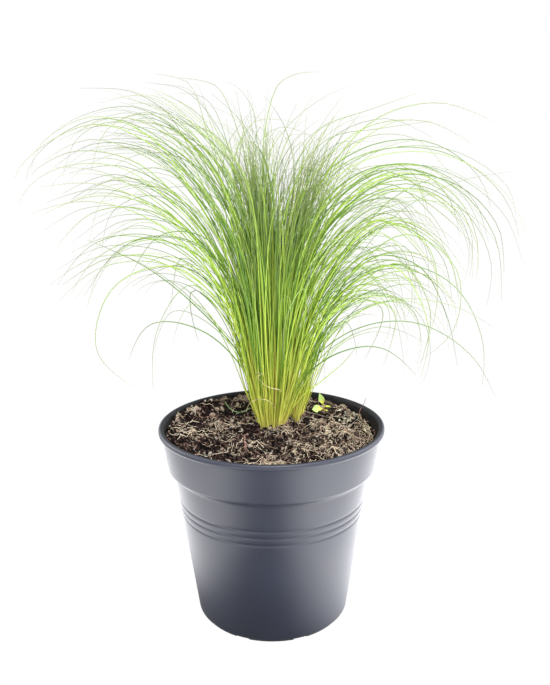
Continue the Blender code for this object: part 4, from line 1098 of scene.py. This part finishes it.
def leaf_object(name, leaves, material):
    """Leaf blades from their outline, with how far along and across each point lies."""
    working = bmesh.new()
    along_layer, across_layer = [working.verts.layers.float.new(layer) for layer in ("along", "across")]
    for height, forward, face, length, width, widest, fold, bend in leaves.values():
        forward = Vector(forward).normalized()
        across = Vector(face).cross(forward).normalized()
        up = forward.cross(across)
        stalk_x, stalk_y = SEEDLING_FOOT
        stem = Vector((stalk_x, stalk_y, compost_level(stalk_x, stalk_y) + SEEDLING_RISE + height))
        rows = []
        for row in range(-2, LEAF_ROWS + 1):
            t = max(row, 0) / LEAF_ROWS
            if t < widest:
                share = math.sin(math.pi / 2 * t / widest)
            else:
                share = math.cos(math.pi / 2 * (t - widest) / (1 - widest))
            half = max(width / 2 * share, LEAF_LEAST_HALF_WIDTH)
            out = LEAF_STEM + length * t if row >= 0 else LEAF_STEM * (row + 2) / 2
            middle = stem + forward * out - up * bend * length * t**2
            line = []
            for column in range(LEAF_COLUMNS + 1):
                side = 2 * column / LEAF_COLUMNS - 1
                place = middle + across * half * side + up * fold * half * abs(side) ** LEAF_FOLD_POWER
                vertex = working.verts.new(place * MM)
                vertex[along_layer], vertex[across_layer] = t, abs(side)
                line.append(vertex)
            rows.append(line)
        for low, high in zip(rows, rows[1:]):
            for i in range(LEAF_COLUMNS):
                working.faces.new((low[i], low[i + 1], high[i + 1], high[i]))
    source = add_object(name + "_blades", mesh_of(working, name + "_blades"))
    source.data.materials.append(material)
    thick = source.modifiers.new("thickness", "SOLIDIFY")
    thick.thickness = LEAF_THICKNESS * MM
    thick.offset = 0.0
    made = as_plain_mesh(source, name)
    made.data.shade_smooth()
    made.data.set_sharp_from_angle(angle=LEAF_SHARP_FROM)
    return made


# Young leaf: soft and slightly waxy, mint green with a pale margin and midrib, and yellow at its base.
young_leaf, tree, shader = new_material("young_leaf", Roughness=0.5, IOR=1.42)
along = add_node(tree, "ShaderNodeAttribute", output="Fac", attribute_name="along")
across = add_node(tree, "ShaderNodeAttribute", output="Fac", attribute_name="across")
greens = ((0.0, "#E8D848"), (0.25, "#DCDC5C"), (0.5, "#B8DC78"), (1.0, "#BCE080"))
lengthwise = add_node(tree, "ShaderNodeValToRGB", (along,), stops=greens)
pale_shares = ((0.0, "#B4B4B4"), (0.12, "#303030"), (0.7, "#404040"), (1.0, "#A0A0A0"))
pale = add_node(tree, "ShaderNodeValToRGB", (across,), stops=pale_shares)
skin = add_node(tree, "ShaderNodeMix", (pale, lengthwise, linear("#E4F0B0")), data_type="RGBA")
tree.links.new(skin, shader.inputs["Base Color"])
dress(leaf_object("seedling_true_leaves", TRUE_LEAVES, young_leaf), "seedling_leaf", *TRUE_LEAVES)

# Seed leaf: thicker and smoother, yellow green where it joins the stalk and olive at its tip.
seed_leaf, tree, shader = new_material("seed_leaf", Roughness=0.45, IOR=1.42)
along = add_node(tree, "ShaderNodeAttribute", output="Fac", attribute_name="along")
olives = ((0.0, "#D0C83C"), (0.5, "#BCCC3C"), (1.0, "#90A838"))
olive = add_node(tree, "ShaderNodeValToRGB", (along,), stops=olives)
tree.links.new(olive, shader.inputs["Base Color"])
dress(leaf_object("seedling_seed_leaves", SEED_LEAVES, seed_leaf), "seedling_leaf", *SEED_LEAVES)

# Young stalk: smooth and juicy, wine red below and greener towards the leaves.
red_stalk, tree, shader = new_material("young_stalk", Roughness=0.45, IOR=1.42)
place = add_node(tree, "ShaderNodeTexCoord", output="Object")
height = add_node(tree, "ShaderNodeSeparateXYZ", (place,), "Z")
height = add_node(tree, "ShaderNodeMapRange", (height, *STALK_RIPENING))
reds = ((0.0, "#6E4040"), (0.6, "#A08058"), (1.0, "#A8A048"))
ripening = add_node(tree, "ShaderNodeValToRGB", (height,), stops=reds)
tree.links.new(ripening, shader.inputs["Base Color"])
foot_height = compost_level(*SEEDLING_FOOT) + SEEDLING_RISE
stalk_line = [(*SEEDLING_FOOT, foot_height + step) for step in (-1.5, 2.0, 4.5, STALK_HEIGHT + 0.4)]
dress(strand("seedling_stalk", [stalk_line], STALK_RADIUS, red_stalk), "seedling", "seedling_stem")


# Litter on the compost and the crown: a loose green blade, two dry curled ones, a red stick and a bare twig.
# All of it has fallen there by itself, and touches the compost or the blades that carry it.
GREEN_BLADE = (
    ((-43.9, 67.5, 165.7), (-41.7, 62.5, 163.1), (-38.7, 55.3, 162.0), (-33.8, 47.5, 161.6),
     (-28.9, 40.2, 163.0), (-23.9, 48.6, 161.4), (-20.0, 56.9, 161.9)),
)
DRY_BLADES = (
    ((-21.5, 12.0, 174.0), (-20.7, 9.0, 177.8), (-18.9, 6.0, 182.4), (-15.4, 3.0, 186.0), (-11.1, 2.0, 188.1),
     (-5.2, 1.5, 187.7), (-0.2, 2.0, 185.3), (2.4, 3.0, 181.4), (3.2, 6.0, 176.6)),
    ((-12.5, -1.0, 211.8), (-5.8, -2.0, 212.0), (-9.0, -1.0, 209.4), (-11.7, -1.0, 209.1),
     (-8.4, -1.5, 204.1), (-4.2, -1.5, 200.5), (-0.9, -1.5, 199.2), (2.4, -1.5, 197.9), (5.8, -1.5, 197.8),
     (8.3, -1.0, 195.9)),
)
TWIG = (((77.5, 38.0, 158.0), (78.5, 40.0, 164.0), (83.0, 42.0, 169.5), (84.5, 42.5, 175.0)),)
RED_STICK = (((-22.7, -8.0, 159.6), (-22.1, -17.7, 159.6), (-21.3, -30.0, 160.4), (-20.6, -38.0, 159.6)),)

# Dry blade: a dead one, bleached to straw and dull.
straw = mottled_material(
    "dry_grass_blade",
    {"Scale": 120.0, "Detail": 3.0},
    ((0.3, "#A89262"), (0.6, "#D0C090"), (0.8, "#E8DCB8")),
    Roughness=0.7,
)

# Fresh blade: one that has just fallen, thin and bluish green.
fallen = mottled_material(
    "fallen_green_blade",
    {"Scale": 60.0, "Detail": 2.0},
    ((0.3, "#4E7040"), (0.6, "#7C9C68"), (0.8, "#A8BC88")),
    Roughness=0.5,
)

# Bark: a peeled twig and a stick, pinkish brown with whitish wood where the bark is gone.
bark_skin = mottled_material(
    "pink_bark",
    {"Scale": 140.0, "Detail": 3.0},
    ((0.35, "#4A2E28"), (0.5, "#7E564C"), (0.62, "#9C7468"), (0.75, "#D0C0B4")),
    Roughness=0.8,
)

# Each piece with its radius in mm
for name, lines, radius, material in (
    ("litter_green_blade", GREEN_BLADE, 0.40, fallen),
    ("litter_dry_blades", DRY_BLADES, 0.30, straw),
    ("litter_twig", TWIG, 0.24, bark_skin),
    ("litter_stick", RED_STICK, 0.85, bark_skin),
):
    dress(strand(name, lines, radius, material), "compost")


# Studio: a plain white table and backdrop. Soft lights stand to the right, behind at both sides and above the
# camera. Bright strips of the table beside the pot give it two light edges, with a dark front between them.
TABLE_HALF_WIDTH = 4.0
TABLE_GLOW = 0.4

# Strips of the table as axis, where each starts and is full in m, and how much it adds to the glow
STRIPS = (
    ("X", 0.01, 0.15, 4.6),
    ("X", 0.19, 0.40, -4.2),
    ("X", -0.075, -0.165, 4.0),
    ("X", -0.185, -0.35, -3.9),
    ("Y", -0.02, 0.14, 1.0),
    ("Y", 0.16, 0.50, -1.1),
)

# The backdrop's glow from the front of the room to its back, as two depths and the glow at each
BACKDROP = (-0.2, 0.9, 0.95, 1.35)

# The room's walls: how far to the side each is full, how much light it adds, and the share where it starts
WALLS = ((0.95, 1.4), (-0.95, 1.05))
WALL_START = 0.3

# Lights as name, place, size and power, each turned to the middle of the grass
LIGHT_TARGET = Vector((0.0, 0.0, 0.20))
LIGHTS = (
    ("light_right", (1.99, -0.17, 0.60), (1.5, 1.7), 16.0),
    ("light_right_back", (1.88, 0.68, 0.60), (1.5, 1.7), 12.0),
    ("light_above", (0.25, -0.70, 1.40), (0.7, 0.7), 22.0),
    ("light_left_back", (-1.88, 0.68, 0.60), (1.2, 1.7), 22.0),
)

floor_mesh = bpy.data.meshes.new("table")
corners = [(x * TABLE_HALF_WIDTH, y * TABLE_HALF_WIDTH, 0.0) for x, y in ((-1, -1), (1, -1), (1, 1), (-1, 1))]
floor_mesh.from_pydata(corners, [], [(0, 1, 2, 3)])
floor = add_object("table", floor_mesh)
white, tree, shader = new_material(
    "white_matt_board",
    Base_Color=linear("#0A0A0A"),
    Roughness=0.9,
    Specular_IOR_Level=0.0,
    Emission_Color=linear("#FFFFFF"),
)
seen = add_node(tree, "ShaderNodeLightPath", output="Is Camera Ray")
place = add_node(tree, "ShaderNodeTexCoord", output="Object")
lit = TABLE_GLOW
for axis, start, full, glow in STRIPS:
    side = add_node(tree, "ShaderNodeSeparateXYZ", (place,), axis)
    reach = (side, start, full, 0.0, glow)
    strip = add_node(tree, "ShaderNodeMapRange", reach, interpolation_type="SMOOTHSTEP")
    lit = add_node(tree, "ShaderNodeMath", (strip, lit), operation="ADD")
glow = add_node(tree, "ShaderNodeMix", (seen, lit, 1.0), data_type="FLOAT")
tree.links.new(glow, shader.inputs["Emission Strength"])
floor_mesh.materials.append(white)

world = bpy.data.worlds.new("studio")
bpy.context.scene.world = world
world.use_nodes = True
tree = world.node_tree
towards = add_node(tree, "ShaderNodeTexCoord", output="Generated")
depth = add_node(tree, "ShaderNodeSeparateXYZ", (towards,), "Y")
sweep = add_node(tree, "ShaderNodeMapRange", (depth, *BACKDROP))
across = add_node(tree, "ShaderNodeSeparateXYZ", (towards,), "X")
for edge, glow in WALLS:
    reach = (across, edge * WALL_START, edge, 0.0, glow)
    wall = add_node(tree, "ShaderNodeMapRange", reach, interpolation_type="SMOOTHSTEP")
    sweep = add_node(tree, "ShaderNodeMath", (sweep, wall), operation="ADD")
seen = add_node(tree, "ShaderNodeLightPath", output="Is Camera Ray")
strength = add_node(tree, "ShaderNodeMix", (seen, sweep, 1.0), data_type="FLOAT")
tree.links.new(strength, tree.nodes["Background"].inputs["Strength"])
tree.nodes["Background"].inputs["Color"].default_value = (1.0, 1.0, 1.0, 1.0)
bpy.context.scene.view_settings.view_transform = "Standard"

for name, place, sides, power in LIGHTS:
    lamp = bpy.data.lights.new(name, "AREA")
    lamp.shape = "RECTANGLE"
    lamp.size, lamp.size_y = sides
    lamp.energy = power
    light_object = add_object(name, lamp)
    light_object.location = place
    light_object.rotation_euler = (LIGHT_TARGET - Vector(place)).to_track_quat("-Z", "Y").to_euler()
    light_object.visible_camera = False

# Camera: 42 mm lens, 0.65 m from the pot and 14 degrees above it, as the photograph was taken.
CAMERA_PLACE = Vector((0.0035, -0.6353, 0.3947))
CAMERA_TARGET = Vector((0.0035, 0.0, 0.2376))
CAMERA_ROLL = -0.0074
CAMERA_LENS = 41.64
camera_data = bpy.data.cameras.new("camera")
camera_data.lens = CAMERA_LENS
camera_data.clip_start = 0.01
camera = add_object("camera", camera_data)
sight = (CAMERA_TARGET - CAMERA_PLACE).to_track_quat("-Z", "Y").to_matrix().to_4x4()
camera.matrix_world = Matrix.Translation(CAMERA_PLACE) @ sight @ Matrix.Rotation(CAMERA_ROLL, 4, "Z")
bpy.context.scene.camera = camera
